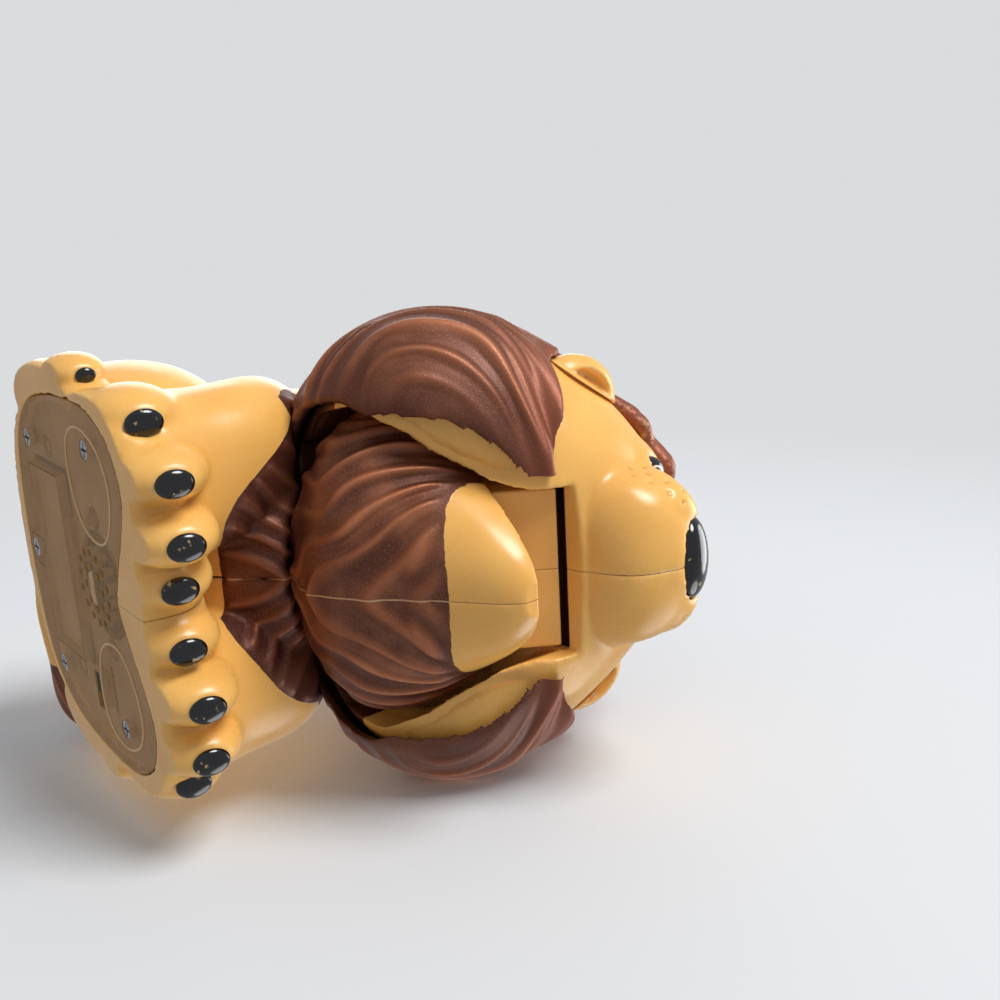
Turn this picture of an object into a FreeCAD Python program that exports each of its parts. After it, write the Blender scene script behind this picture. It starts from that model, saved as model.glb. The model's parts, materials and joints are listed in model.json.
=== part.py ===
"""Talking animal figure: a seated moulded plastic lion whose jaw moves when its back button is pressed.

Frame, in millimetres: +Z is up, the lion looks along -Y and its left is +X. The origin is on the flat
underside, below the middle of the body. Most pieces are built on the left and mirrored in the plane x = 0.
"""
import FreeCAD, Part
import math
import os
from FreeCAD import Matrix, Placement, Rotation, Vector

# Walls and clearances
wall = 2.4  # shells of the body, the head and the mane
seat_gap = 0.3  # between separate curved pieces that sit against each other
fit_gap = 0.1  # round small pieces set into a pocket
moving_gap = 0.5  # between moving pieces and what they pass
running_gap = 0.05  # radial, pin in bore
overlap = 0.5  # how far two shapes that are fused reach into each other
through = 1.0  # how far a cut runs past the face it opens
far = 300.0  # larger than the whole figure, for cutting boxes
least_section = 0.8  # half size of the smallest section of an inner form
least_solid = 0.5  # volume below which a left-over of a cut is dropped
coil_points = 12  # on each turn of a spring

# Head: the middle of the skull, from which the head's own sections are measured
head_y = -51.0
head_z = 88.0

# Jaw hinge, measured from the middle of the skull: forward and up
hinge_forward = -25.0
hinge_up = -10.0
hinge_pin_radius = 2.0
hinge_barrel_radius = 4.5
hinge_boss_radius = 5.0
jaw_travel = 17.0  # degrees from the open rest position to shut
jaw_top_slope = -5.0  # degrees, of the jaw's upper face at rest
jaw_shut_gap = 1.5  # degrees left between the jaw and the palate when shut
mouth_half_width = 21.5
jaw_side_gap = 1.2  # between the jaw's tongue box and each side of the mouth opening
jaw_cheek_gap = 1.6  # between the jaw and the cheeks on both sides of it
jaw_body_gap = 1.2  # between the jaw and the chest
jaw_deck_drop = 0.4  # from the line through the hinge down to the jaw's upper face
mouth_front = 23.5  # front edge of the mouth opening, forward of the middle of the skull
palate_back_gap = 1.5  # behind the hinge barrel
spring_knuckle_half_width = 9.0
jaw_spring_half_length = 6.5
jaw_spring_radius = 3.2
jaw_spring_wire = 0.45
jaw_spring_turns = 8

# Push button in the back and its rod
button_radius = 8.0
button_stands_out = 5.0
button_z = 68.5
button_face_y = 43.0
button_stop_y = 26.5  # the step against which the button's flange rests
button_stop_gap = 0.3
button_flange_radius = 9.6
button_flange_thickness = 2.0
button_collar_wall = 2.0
button_collar_rim = 1.2  # how far the collar may stand out of the back
spring_room_radius = 10.4
spring_room_length = 11.0
spring_room_floor = 2.0
spring_wire_radius = 0.5
spring_radius = 6.0
spring_turns = 3
rod_radius = 2.5
rod_collar_radius = 4.2
rod_collar_y = 9.6
rod_collar_length = 1.6
rod_jaw_gap = 0.4  # between the rod's round tip and the jaw's rear wall at rest

# Neck tube between the body and the head
neck_radius = 13.0
neck_wall = 2.2
neck_z = 75.0
neck_flange_radius = 15.6
neck_flange_thickness = 2.2

# Bosses and screws across the body: y, z
body_screw_places = [(-12.0, 36.0), (36.0, 46.0), (4.0, 54.0)]
case_screw_seat = 9.0
base_screw_places = [(36.0, -9.0), (32.0, 35.0)]
base_screw_seat = 1.4  # height of the screw heads' undersides
base_boss_top = 13.0
base_rib_half = 1.2  # half thickness of the ribs that tie the base bosses to the body's walls

# Underside
base_thickness = 2.4
base_gap = 0.25
base_half_outline = [
    (0.0, -16.5), (6.0, -19.0), (17.0, -25.0), (30.0, -29.5), (40.0, -25.0), (45.0, -17.0),
    (47.0, 0.0), (45.5, 18.0), (41.0, 32.0), (31.0, 42.0), (16.0, 46.0), (0.0, 47.0),
]
base_middle_y = 10.0
battery_radius = 5.25
battery_length = 44.5
battery_nub_radius = 1.9
battery_nub_length = 0.8
battery_pitch = 11.0
battery_count = 2
battery_middle_y = 26.0
battery_gap = 0.3
contact_thickness = 0.5
contact_spring_radius = 2.6
contact_spring_wire = 0.35
contact_spring_turns = 3
contact_room = 3.0  # at each end of a battery, for its contacts
tray_wall = 1.6
tray_ear_radius = 3.4
tray_ear_out = 3.8  # how far the ears' screws stand out from the tray
tray_ear_height = 4.0  # of the plate's bosses under the ears
door_thickness = 1.8
door_gap = 0.3
door_tab_radius = 4.0
door_tab_out = 5.4  # how far the door's screw stands behind the opening
door_boss_height = 6.0
door_screw_seat = 1.3
door_lip_half_width = 14.0
door_lip_reach = 1.9
door_lip_low = 0.9
speaker_radius = 12.5
speaker_cone_radius = 7.0
speaker_rim_height = 2.4
speaker_height = 9.0
speaker_y = -2.0
speaker_wall = 1.6
ring_lip = 2.2
ring_thickness = 1.4
ring_ear_out = 3.2
grille_hole_radius = 1.1
grille_rings = [(5.6, 8), (9.2, 14)]  # radius and number of holes
knob_length = 6.0
knob_width = 3.6
knob_rim = 1.6
knob_rim_height = 1.4
knob_recess = 0.4  # how far the knob stays above the plate's underside
knob_travel = 4.0
knob_place = (28.5, 7.0)
knob_gap = 0.15
knob_switch_height = 4.0

# Screws
screw_radius = 1.3
screw_head_radius = 2.6
screw_head_height = 1.2
screw_slot_width = 0.6
screw_slot_depth = 0.9
screw_slot_reach = 1.8  # half length of each arm of the cross
boss_radius = 3.6
case_screw_length = 20.0
base_screw_length = 9.0
small_screw_length = 5.0
screw_reach = 0.4  # how much deeper than the screw its bore runs

# Circuit board, on the battery tray
board_length = 36.0
board_width = 24.0
board_thickness = 1.6
board_post_height = 3.0
board_post_radius = 2.4
board_inset = 3.4
chip_size = (9.0, 9.0, 1.4)
capacitor_radius = 3.0
capacitor_height = 8.0
plug_size = (10.0, 5.0, 5.5)

# Voice switch on the neck tube's rear flange: a box, and a blade beside the rod
switch_low = (5.4, 62.0)
switch_high = (13.0, 72.0)
switch_depth = 4.0
blade_low = 66.0
blade_high = 71.0
blade_thickness = 0.4
blade_reach = 3.4  # x of the blade's free end, beside the rod
blade_root = 9.0

# Front paws: places of the four toes from the middle outwards
toe_places = [(7.4, -26.5), (19.3, -33.5), (33.2, -31.5), (44.6, -18.5)]
toe_radii = (7.2, 13.0, 11.0)
toe_middle_z = 8.4
claw_radii = (3.3, 1.6, 4.4)
claw_z = 7.0
claw_tilt = 8.0
hind_toe_places = [(46.6, 2.0), (52.0, 7.0)]
hind_toe_radii = (4.6, 9.0, 7.4)
hind_toe_z = 5.6
hind_claw_radii = (1.9, 1.1, 2.4)

# Sections of the main forms. Torso: height, front, back, half width, squareness
torso_rows = [
    (0.0, -12.0, 52.0, 44.0, 2.5),
    (12.0, -14.0, 55.0, 45.0, 2.5),
    (26.0, -19.0, 55.0, 44.0, 2.4),
    (40.0, -32.0, 51.0, 41.0, 2.2),
    (54.0, -27.0, 45.0, 39.0, 2.2),
    (68.0, -22.0, 37.0, 37.0, 2.1),
    (82.0, -18.0, 28.5, 34.0, 2.1),
    (94.0, -16.0, 19.0, 27.5, 2.0),
    (103.0, -14.0, 10.0, 18.0, 2.0),
    (108.0, -12.0, 3.0, 9.0, 2.0),
]
# The block that joins both front paws low down: height, front, back, half width, squareness
bridge_rows = [
    (0.0, -33.0, 6.0, 34.0, 3.0),
    (11.0, -33.5, 6.0, 34.0, 3.0),
    (18.0, -26.0, 2.0, 28.0, 2.6),
]
# Front leg: height, middle x, middle y, half width, half depth
leg_squareness = 2.2
leg_rows = [
    (0.0, 27.0, -13.0, 23.0, 22.0),
    (9.0, 27.0, -15.0, 23.0, 22.0),
    (20.0, 27.5, -16.0, 20.5, 18.0),
    (34.0, 29.0, -15.0, 18.5, 16.5),
    (50.0, 29.0, -8.0, 16.0, 15.0),
    (62.0, 27.0, -2.0, 9.0, 9.0),
]
haunch_middle = (31.0, 22.0, 22.0)
haunch_radii = (19.0, 29.0, 27.0)
hind_foot_middle = (43.0, 17.0, 4.0)
hind_foot_radii = (11.0, 24.0, 10.5)

# Head, from the middle of the skull: forward, up, half width, half height, squareness
head_rows = [
    (-44.0, -8.0, 22.0, 26.0, 2.0),
    (-38.0, -5.0, 36.0, 34.0, 2.1),
    (-28.0, -3.0, 48.5, 42.5, 2.1),
    (-14.0, -1.0, 55.5, 46.0, 2.1),
    (-2.0, 2.0, 55.0, 46.0, 2.1),
    (8.0, 5.0, 50.5, 42.5, 2.1),
    (16.0, 8.0, 43.0, 37.0, 2.1),
    (22.0, 11.0, 35.0, 30.5, 2.1),
    (26.0, 14.5, 27.5, 23.5, 2.1),
    (29.0, 18.0, 18.5, 14.5, 2.0),
    (30.5, 20.5, 8.0, 6.5, 2.0),
]
head_taper = 0.25
muzzle_rows = [
    (14.0, 15.0, 22.0, 16.0, 3.0),
    (23.0, 17.5, 22.3, 15.8, 2.9),
    (32.0, 19.5, 21.3, 14.6, 2.6),
    (38.5, 21.0, 17.3, 12.4, 2.3),
    (42.0, 22.0, 11.5, 8.4, 2.1),
    (44.0, 22.5, 4.0, 3.0, 2.0),
]
muzzle_taper = 0.06
ear_middle = (38.3, 5.5, 18.8)
ear_radii = (9.8, 5.6, 11.2)
ear_hollow_middle = (39.6, 10.3, 19.1)
ear_hollow_radii = (6.2, 4.6, 7.4)
ear_tilt = 4.0
eye_middle = (17.6, 22.5, 31.0)
eye_radii = (4.4, 3.4, 4.8)
nose_middle = (0.0, 39.2, 28.4)
nose_radii = (10.5, 4.6, 7.4)
nose_tilt = -40.0

# Mane: a shell over the head
mane_wall = 2.5
mane_rows_count = 9  # how many of the head's sections the mane reaches over
# The mane's edge from the side, forward and up: its lower rim from back to front, then past the ear
mane_rim = [(-60.0, -44.0), (-14.0, -41.5), (-2.0, -37.0), (8.0, -29.0), (27.0, -7.0)]
face_edge = [
    (26.5, -2.0), (18.5, 5.0), (8.0, 12.0), (-1.0, 22.0), (-1.0, 38.0), (12.0, 50.0), (12.0, 60.0),
]
cheek_lift = 4.0  # how far the cheeks end above the mane's lower rim
mane_peg_places = [(-18.0, 10.0), (-3.0, -9.0)]  # forward, up
mane_peg_radius = 3.0
mane_peg_head_radius = 4.4
mane_peg_head_height = 1.4
mane_peg_seat = 49.0  # x of the flat face inside the head on which the peg's head lies
pin_boss_reach = 38.0
pin_half_length = 34.0
head_screw_places = [(-12.0, 36.0), (-24.0, 22.0)]  # forward, up

# Jaw lobe (chin and beard): forward, middle below the upper face, half width, half height, squareness
jaw_rows = [
    (-27.5, 8.0, 28.0, 18.0, 2.1),
    (-21.0, 11.0, 36.0, 27.0, 2.1),
    (-11.0, 12.0, 39.0, 28.5, 2.1),
    (0.0, 10.0, 33.5, 27.5, 2.1),
    (8.0, 7.0, 27.0, 23.0, 2.1),
    (15.0, 4.5, 22.5, 18.5, 2.1),
    (21.0, 3.0, 18.5, 14.5, 2.2),
    (27.0, 2.0, 14.0, 10.5, 2.3),
    (31.5, 1.5, 9.5, 7.0, 2.2),
    (34.5, 1.0, 4.5, 3.5, 2.0),
]
# Tongue box inside the mouth, a side outline: forward, up from the middle of the skull
panel_foot = (14.0, -12.5)
panel_top = (22.4, 0.6)
box_top_front = (16.0, 5.0)
box_top_back = (-20.0, -5.4)
panel_wall = 3.0  # thickness of the mouth panel

# Tail, from the rump round the left haunch to the end of its tuft: x, y, z and radius
tail_rows = [
    (0.0, 55.7, 12.5, 4.0),
    (0.5, 59.8, 12.3, 3.9),
    (5.0, 63.2, 10.8, 3.8),
    (13.0, 63.8, 8.2, 3.6),
    (24.0, 60.8, 5.6, 3.5),
    (33.0, 56.4, 5.0, 3.6),
    (38.0, 53.2, 5.6, 4.6),
    (43.0, 49.6, 6.4, 6.0),
    (48.0, 46.2, 6.6, 6.2),
    (52.0, 42.8, 6.4, 5.0),
    (54.6, 40.4, 6.2, 2.6),
    (55.7, 39.4, 6.1, 0.8),
]
tail_flange_y = 50.0
tail_flange_thickness = 1.6
tail_flange_radius = 4.4
tail_peg_radius = 3.0


def at_head(x, forward, up):
    """A point given from the middle of the skull."""
    return Vector(x, head_y - forward, head_z + up)


def closed_curve(points):
    """A smooth closed wire through the points."""
    curve = Part.BSplineCurve()
    curve.interpolate(Points=points, PeriodicFlag=True)
    return Part.Wire([curve.toShape()])


def oval(middle, across, along, half_a, half_b, squareness, taper=0.0, count=20):
    """A superellipse about middle in the plane of across and along; taper narrows it towards along."""
    points = []
    for step in range(count):
        turn = 2.0 * math.pi * step / count
        c = math.cos(turn)
        s = math.sin(turn)
        b = half_b * math.copysign(abs(s) ** (2.0 / squareness), s)
        a = half_a * math.copysign(abs(c) ** (2.0 / squareness), c) * (1.0 - taper * b / half_b)
        points.append(middle + across * a + along * b)
    return closed_curve(points)


def level_loft(rows, inset=0.0):
    """Solid through level ovals given as height, front, back, half width, squareness."""
    wires = []
    for z, front, back, half_width, squareness in rows:
        middle = Vector(0.0, (front + back) / 2.0, z)
        sizes = (half_width - inset, (back - front) / 2.0 - inset)
        wires.append(oval(middle, Vector(1, 0, 0), Vector(0, 1, 0), *sizes, squareness))
    return Part.makeLoft(wires, True, False)


def head_loft(rows, grow=0.0, taper=0.0):
    """Solid through upright ovals given as forward, up, half width, half height, squareness.

    The end ovals move out with grow, and an oval which an end has passed is left out.
    """
    first = rows[0][0] - grow
    last = rows[-1][0] + grow
    wires = []
    for i, (forward, up, half_width, half_height, squareness) in enumerate(rows):
        if i == 0:
            forward = first
        elif i == len(rows) - 1:
            forward = last
        elif not first < forward < last:
            continue
        sizes = (max(half_width + grow, least_section), max(half_height + grow, least_section))
        middle = at_head(0.0, forward, up)
        wires.append(oval(middle, Vector(1, 0, 0), Vector(0, 0, 1), *sizes, squareness, taper))
    return Part.makeLoft(wires, True, False)


def mane_form(grow=0.0):
    """The mane's outer form, solid."""
    return head_loft(head_rows[:mane_rows_count], seat_gap + mane_wall + grow, head_taper)


def leg_loft(rows, inset=0.0):
    """Solid through level ovals given as height, middle x, middle y, half width, half depth."""
    wires = []
    for z, x, y, half_width, half_depth in rows:
        sizes = (half_width - inset, half_depth - inset)
        wires.append(oval(Vector(x, y, z), Vector(1, 0, 0), Vector(0, 1, 0), *sizes, leg_squareness))
    return Part.makeLoft(wires, True, False)


def ellipsoid(middle, radii, tilt=0.0):
    """An ellipsoid about middle, tilted about X by tilt degrees."""
    ball = Part.makeSphere(1.0)
    squash = Matrix()
    squash.scale(Vector(*radii))
    shape = ball.transformGeometry(squash)
    shape.Placement = Placement(middle, Rotation(Vector(1, 0, 0), tilt))
    return shape


def rod(start, end, radius):
    """A round bar between two points."""
    along = end - start
    return Part.makeCylinder(radius, along.Length, start, along)


def box(low, high):
    """An upright box between two corners."""
    size = Vector(*high) - Vector(*low)
    return Part.makeBox(size.x, size.y, size.z, Vector(*low))


def profile_prism(points, half_width):
    """A side outline, given as forward and up, drawn out to both sides of the middle."""
    corners = [at_head(-half_width, forward, up) for forward, up in points]
    face = Part.Face(Part.makePolygon(corners + corners[:1]))
    return face.extrude(Vector(2.0 * half_width, 0, 0))


def mirrored(shape):
    """The same shape on the other side of the middle plane."""
    return shape.mirror(Vector(0, 0, 0), Vector(1, 0, 0))


def left_of_middle(shape):
    """The part of a shape on the lion's left."""
    return shape.common(box((0.0, -far, -far), (far, far, far)))


def solids_only(shape):
    """One solid, or a compound of the solids in a shape."""
    found = [s for s in shape.Solids if s.Volume > least_solid]
    return found[0] if len(found) == 1 else Part.makeCompound(found)


def write(shape, node):
    """Write one node."""
    shape.exportStep("parts/" + node + ".step")


def slope_point(start, angle, length):
    """The point at a distance from start along a slope, forward and up."""
    turn = math.radians(angle)
    return (start[0] + length * math.cos(turn), start[1] + length * math.sin(turn))


hinge = (hinge_forward, hinge_up)
button_travel = (head_z + hinge_up - button_z) * math.radians(jaw_travel)
palate_slope = jaw_top_slope + jaw_travel + jaw_shut_gap


def palate_back():
    """How far forward of the skull's middle the palate's back wall stands."""
    return hinge_forward - hinge_barrel_radius - palate_back_gap


def below_palate(lift=0.0):
    """The wedge under the skull in which the jaw moves; lift leaves room for a wall above and behind it."""
    turn = math.radians(palate_slope)
    raise_by = lift / math.cos(turn)
    rear = palate_back() - lift
    at_rear = hinge_up + (rear - hinge_forward) * math.tan(turn) + raise_by
    front = slope_point(hinge, palate_slope, far)
    corners = [(rear, at_rear), (front[0], front[1] + raise_by), (front[0], -far), (rear, -far)]
    return profile_prism(corners, far)


def mane_zone(drop=0.0):
    """What lies above the mane's lower rim and behind its front edge; drop lowers the rim."""
    rim = [(forward, up - drop) for forward, up in mane_rim]
    return profile_prism(rim + face_edge + [(mane_rim[0][0], face_edge[-1][1])], far)


def head_zone(lift):
    """What lies above the cheeks' lower edge, which follows the mane's rim at a height above it."""
    rim = [(forward, up + lift) for forward, up in mane_rim]
    return profile_prism(rim + [(far, rim[-1][1]), (far, far), (rim[0][0], far)], far)


def head_solid(grow=0.0):
    """Skull, cheeks and muzzle, solid, down to the cheeks' lower edge."""
    ball = head_loft(head_rows, grow, head_taper).common(head_zone(cheek_lift - grow))
    return ball.fuse(head_loft(muzzle_rows, grow, muzzle_taper))


def ear(side, grow=0.0):
    """One ear without its hollow; side is 1 on the lion's left."""
    middle = at_head(side * ear_middle[0], *ear_middle[1:])
    return ellipsoid(middle, [r + grow for r in ear_radii], ear_tilt)


def eye(side, grow=0.0):
    """One eye; side is 1 on the lion's left."""
    return ellipsoid(at_head(side * eye_middle[0], *eye_middle[1:]), [r + grow for r in eye_radii])


def nose(grow=0.0):
    """The nose, solid."""
    return ellipsoid(at_head(*nose_middle), [r + grow for r in nose_radii], nose_tilt)


def jaw_pocket(grow=0.0):
    """The jaw's room between the cheeks and under the palate; grow leaves a wall's thickness round it."""
    rear = palate_back() - grow
    widest = max(row[2] for row in jaw_rows)
    side = [(jaw_rows[0][2] + jaw_cheek_gap + grow, rear)]
    passed = False
    for forward, below, half_width, half_height, squareness in jaw_rows:
        reach = max(half_width + jaw_cheek_gap, mouth_half_width) + grow
        lead = below * math.sin(math.radians(jaw_travel))
        if not passed:
            side.append((reach, forward))
        passed = passed or half_width == widest
        if passed:
            side.append((reach, forward + lead))
    side.append((mouth_half_width + grow, far))
    outline = side + [(-x, forward) for x, forward in reversed(side)]
    corners = [Vector(x, head_y - forward, -far) for x, forward in outline]
    plan = Part.Face(Part.makePolygon(corners + corners[:1])).extrude(Vector(0, 0, 2.0 * far))
    return below_palate(grow).common(plan)


def jaw_sections():
    """The jaw lobe's sections, placed from the slope of the jaw's upper face."""
    rows = []
    for forward, below, half_width, half_height, squareness in jaw_rows:
        top = hinge_up + (forward - hinge_forward) * math.tan(math.radians(jaw_top_slope))
        rows.append((forward, top - below, half_width, half_height, squareness))
    return rows


def neck_bore(radius, start=-far, end=far):
    """A level bar along the neck tube's line."""
    return rod(Vector(0, start, neck_z), Vector(0, end, neck_z), radius)


def cross_bar(forward, up, radius, low, high):
    """A bar across the head, from x = low to x = high."""
    return rod(at_head(low, forward, up), at_head(high, forward, up), radius)


def head_half():
    """The left head shell, before its screw bores."""
    ears = ear(1.0).cut(ellipsoid(at_head(*ear_hollow_middle), ear_hollow_radii, ear_tilt))
    hollow = head_solid(-wall).cut(jaw_pocket(wall))
    shell = head_solid().fuse(ears).cut(hollow).cut(jaw_pocket())
    opening = [
        (palate_back(), -far),
        (palate_back(), hinge_up + hinge_barrel_radius + moving_gap),
        (mouth_front, slope_point(hinge, palate_slope, mouth_front - hinge_forward)[1] + 2.0 * wall),
        (mouth_front, -far),
    ]
    shell = shell.cut(profile_prism(opening, mouth_half_width))
    shell = shell.fuse(cross_bar(*hinge, hinge_boss_radius, mouth_half_width + moving_gap, pin_boss_reach))
    inside = head_solid()
    for forward, up in head_screw_places:
        shell = shell.fuse(cross_bar(forward, up, boss_radius, 0.0, far).common(inside))
    for forward, up in mane_peg_places:
        shell = shell.fuse(cross_bar(forward, up, mane_peg_head_radius, mane_peg_seat, far).common(inside))
    shell = left_of_middle(shell)
    for forward, up in mane_peg_places:
        shell = shell.cut(cross_bar(forward, up, mane_peg_radius + running_gap, 0.0, far))
        head_room = mane_peg_head_radius + moving_gap
        shell = shell.cut(cross_bar(forward, up, head_room, mane_peg_seat - far, mane_peg_seat))
    shell = shell.cut(eye(1.0, fit_gap)).cut(nose(fit_gap))
    shell = shell.cut(cross_bar(*hinge, hinge_pin_radius + running_gap, -far, pin_half_length))
    shell = shell.cut(button_bar(rod_radius + moving_gap, -far, far))
    return shell.cut(neck_bore(neck_radius + running_gap, neck_head_y() - overlap))


def mane_half():
    """The left mane shell, with the pegs that hold it to the head."""
    outer = mane_form().common(mane_zone())
    inner = head_loft(head_rows, seat_gap, head_taper)
    shell = outer.cut(inner).cut(ear(1.0, seat_gap)).cut(jaw_pocket(wall))
    for forward, up in mane_peg_places:
        peg = cross_bar(forward, up, mane_peg_radius, mane_peg_seat - mane_peg_head_height, far)
        peg = peg.common(outer)
        head_end = mane_peg_seat - running_gap
        cap = cross_bar(forward, up, mane_peg_head_radius, head_end - mane_peg_head_height, head_end)
        shell = shell.fuse(peg).fuse(cap)
    return left_of_middle(shell.cut(neck_bore(neck_radius + running_gap)))


def jaw_half():
    """The left jaw shell: chin and beard below, the tongue box and its panel above, and the hinge barrel."""
    lobe = head_loft(jaw_sections())
    inside = head_loft(jaw_sections(), -wall)
    front = slope_point(hinge, jaw_top_slope, far)
    back = slope_point(hinge, jaw_top_slope, -far)

    def under(drop):
        edge = [(back[0], back[1] - drop), (front[0], front[1] - drop)]
        return profile_prism(edge + [(front[0], -far), (back[0], -far)], far)

    lobe = lobe.common(under(jaw_deck_drop)).cut(inside.common(under(jaw_deck_drop + wall)))
    side = mouth_half_width - jaw_side_gap
    barrel_room = cross_bar(*hinge, hinge_boss_radius + moving_gap, -far, far)
    lobe = lobe.cut(barrel_room)
    foot_back = (hinge_forward, hinge_up - hinge_barrel_radius + overlap)
    tongue = profile_prism([panel_foot, panel_top, box_top_front, box_top_back, foot_back], side)
    inner = [(forward - panel_wall, up) for forward, up in (panel_foot, panel_top)]
    room_back = box_top_back[0] + wall
    room = inner + [(box_top_front[0], far), (room_back, far), (room_back, inner[0][1])]
    tongue = tongue.cut(profile_prism(room, side - wall))
    tongue = tongue.fuse(cross_bar(*hinge, hinge_barrel_radius, -side, side))
    half = spring_knuckle_half_width
    spring_room = cross_bar(*hinge, hinge_barrel_radius + moving_gap, -half, half)
    jaw = lobe.fuse(tongue).cut(spring_room)
    jaw = jaw.cut(cross_bar(*hinge, hinge_pin_radius + running_gap, -far, far))
    return left_of_middle(jaw)


def torso_cutters():
    """What the body leaves free for the head, the mane and the jaw."""
    head_room = mane_form(seat_gap).common(mane_zone(seat_gap))
    return head_room.fuse(head_loft(jaw_sections(), jaw_body_gap))


def body_outer():
    """The body's outer form, solid: torso, left front leg and paw, left haunch and hind foot."""
    form = level_loft(torso_rows).fuse([level_loft(bridge_rows), leg_loft(leg_rows)])
    for x, y in toe_places:
        form = form.fuse(ellipsoid(Vector(x, y, toe_middle_z), toe_radii))
    form = form.fuse(ellipsoid(Vector(*haunch_middle), haunch_radii))
    form = form.fuse(ellipsoid(Vector(*hind_foot_middle), hind_foot_radii))
    for x, y in hind_toe_places:
        form = form.fuse(ellipsoid(Vector(x, y, hind_toe_z), hind_toe_radii))
    return form.common(box((0.0, -far, 0.0), (far, far, far)))


def body_hollow():
    """The space inside the body's left half, above its floor."""
    under_bridge = box((-far, -far, 0.0), (far, far, bridge_rows[-1][0] - wall))
    paws = level_loft(bridge_rows, wall).common(under_bridge)
    room = level_loft(torso_rows, wall).fuse([paws, leg_loft(leg_rows, wall)])
    room = room.fuse(ellipsoid(Vector(*haunch_middle), [r - wall for r in haunch_radii]))
    room = room.common(box((-far, -far, base_thickness), (far, far, torso_rows[-1][0] - wall)))
    head_room = mane_form(seat_gap + wall).common(mane_zone(seat_gap + wall))
    return room.cut(head_room).cut(head_loft(jaw_sections(), jaw_body_gap + wall))


def base_outline(grow):
    """The closed outline of the base plate."""
    points = []
    for x, y in base_half_outline:
        points.append((x, y))
    for x, y in reversed(base_half_outline[1:-1]):
        points.append((-x, y))
    middle = Vector(0.0, base_middle_y, 0.0)
    corners = []
    for x, y in points:
        away = Vector(x, y, 0.0) - middle
        corners.append(middle + away * ((away.Length + grow) / away.Length))
    return closed_curve(corners)


def base_prism(grow, low, high):
    """The base plate's outline drawn up from low to high."""
    face = Part.Face(base_outline(grow))
    face.translate(Vector(0, 0, low))
    half = left_of_middle(face.extrude(Vector(0, 0, high - low)))
    return half.fuse(mirrored(half)).removeSplitter()


def button_bar(radius, start, end):
    """A bar along the push button's line."""
    return rod(Vector(0, start, button_z), Vector(0, end, button_z), radius)


def body_half(outer):
    """The left body shell, before its cross screws' bores."""
    shell = outer.cut(torso_cutters()).cut(body_hollow())
    shell = shell.cut(base_prism(base_gap, -through, base_thickness))
    mouth_end = button_face_y - button_stands_out
    room_start = button_stop_y - spring_room_length
    room_end = room_start - spring_room_floor
    collar = button_bar(button_radius + moving_gap + button_collar_wall, button_stop_y, mouth_end)
    tub_radius = spring_room_radius + button_collar_wall
    tub = button_bar(tub_radius, room_end, button_stop_y + button_collar_wall)
    shell = shell.fuse(collar.common(level_loft(torso_rows, -button_collar_rim)))
    shell = shell.fuse(tub.common(level_loft(torso_rows)))
    for y, z in body_screw_places:
        shell = shell.fuse(rod(Vector(0, y, z), Vector(far, y, z), boss_radius).common(outer))
    for x, y in base_screw_places:
        boss = rod(Vector(x, y, base_thickness), Vector(x, y, base_boss_top), boss_radius)
        rib = box((x, y - base_rib_half, base_thickness), (far, y + base_rib_half, base_boss_top))
        shell = shell.fuse(boss.fuse(rib.common(outer)))
    shell = left_of_middle(shell)
    shell = shell.cut(button_bar(button_radius + moving_gap, button_stop_y - overlap, far))
    shell = shell.cut(button_bar(spring_room_radius, room_start, button_stop_y))
    shell = shell.cut(button_bar(rod_radius + moving_gap, room_end - overlap, room_start + overlap))
    shell = shell.cut(neck_bore(neck_radius + running_gap, -far, neck_body_y() + overlap))
    for x, y in base_screw_places:
        top = base_screw_seat + base_screw_length + screw_reach
        shell = shell.cut(rod(Vector(x, y, -through), Vector(x, y, top), screw_radius + running_gap))
    for x, y in toe_places:
        shell = shell.cut(claw_at(x, y, fit_gap))
    for x, y in hind_toe_places:
        shell = shell.cut(hind_claw_at(x, y, fit_gap))
    return shell.cut(tail_peg(running_gap))


def claw_at(x, y, grow=0.0):
    """A front claw, set into the tip of the toe whose middle is at x, y."""
    tip = y - toe_radii[1] * math.sqrt(1.0 - ((claw_z - toe_middle_z) / toe_radii[2]) ** 2)
    return ellipsoid(Vector(x, tip, claw_z), [r + grow for r in claw_radii], claw_tilt)


def hind_claw_at(x, y, grow=0.0):
    """A hind claw, set into the tip of the toe whose middle is at x, y."""
    middle = Vector(x, y - hind_toe_radii[1], hind_toe_z)
    return ellipsoid(middle, [r + grow for r in hind_claw_radii], claw_tilt)


def neck_head_y():
    """The inner face of the head's rear wall."""
    return head_y - head_rows[0][0] - wall


def neck_body_y():
    """The inner face of the body's front wall, behind the mane."""
    return head_y - head_rows[0][0] + 2.0 * seat_gap + mane_wall + wall


def neck_tube():
    """The flanged tube that holds the head to the body; the rod runs through it."""
    front = neck_head_y() - running_gap
    rear = neck_body_y() + running_gap
    tube = neck_bore(neck_radius, front - neck_flange_thickness, rear + neck_flange_thickness)
    tube = tube.fuse(neck_bore(neck_flange_radius, front - neck_flange_thickness, front))
    tube = tube.fuse(neck_bore(neck_flange_radius, rear, rear + neck_flange_thickness))
    return tube.cut(neck_bore(neck_radius - neck_wall))


def voice_switch():
    """The leaf switch on the neck tube's rear flange."""
    start = neck_body_y() + running_gap + neck_flange_thickness
    end = start + switch_depth
    case = box((switch_low[0], start, switch_low[1]), (switch_high[0], end, switch_high[1]))
    blade_end = end + 2.0 * blade_thickness
    blade = box((blade_reach, end + blade_thickness, blade_low), (blade_root, blade_end, blade_high))
    foot = box((blade_root - overlap, end, blade_low), (switch_high[0], blade_end, blade_high))
    return case.fuse(blade).fuse(foot)


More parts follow.
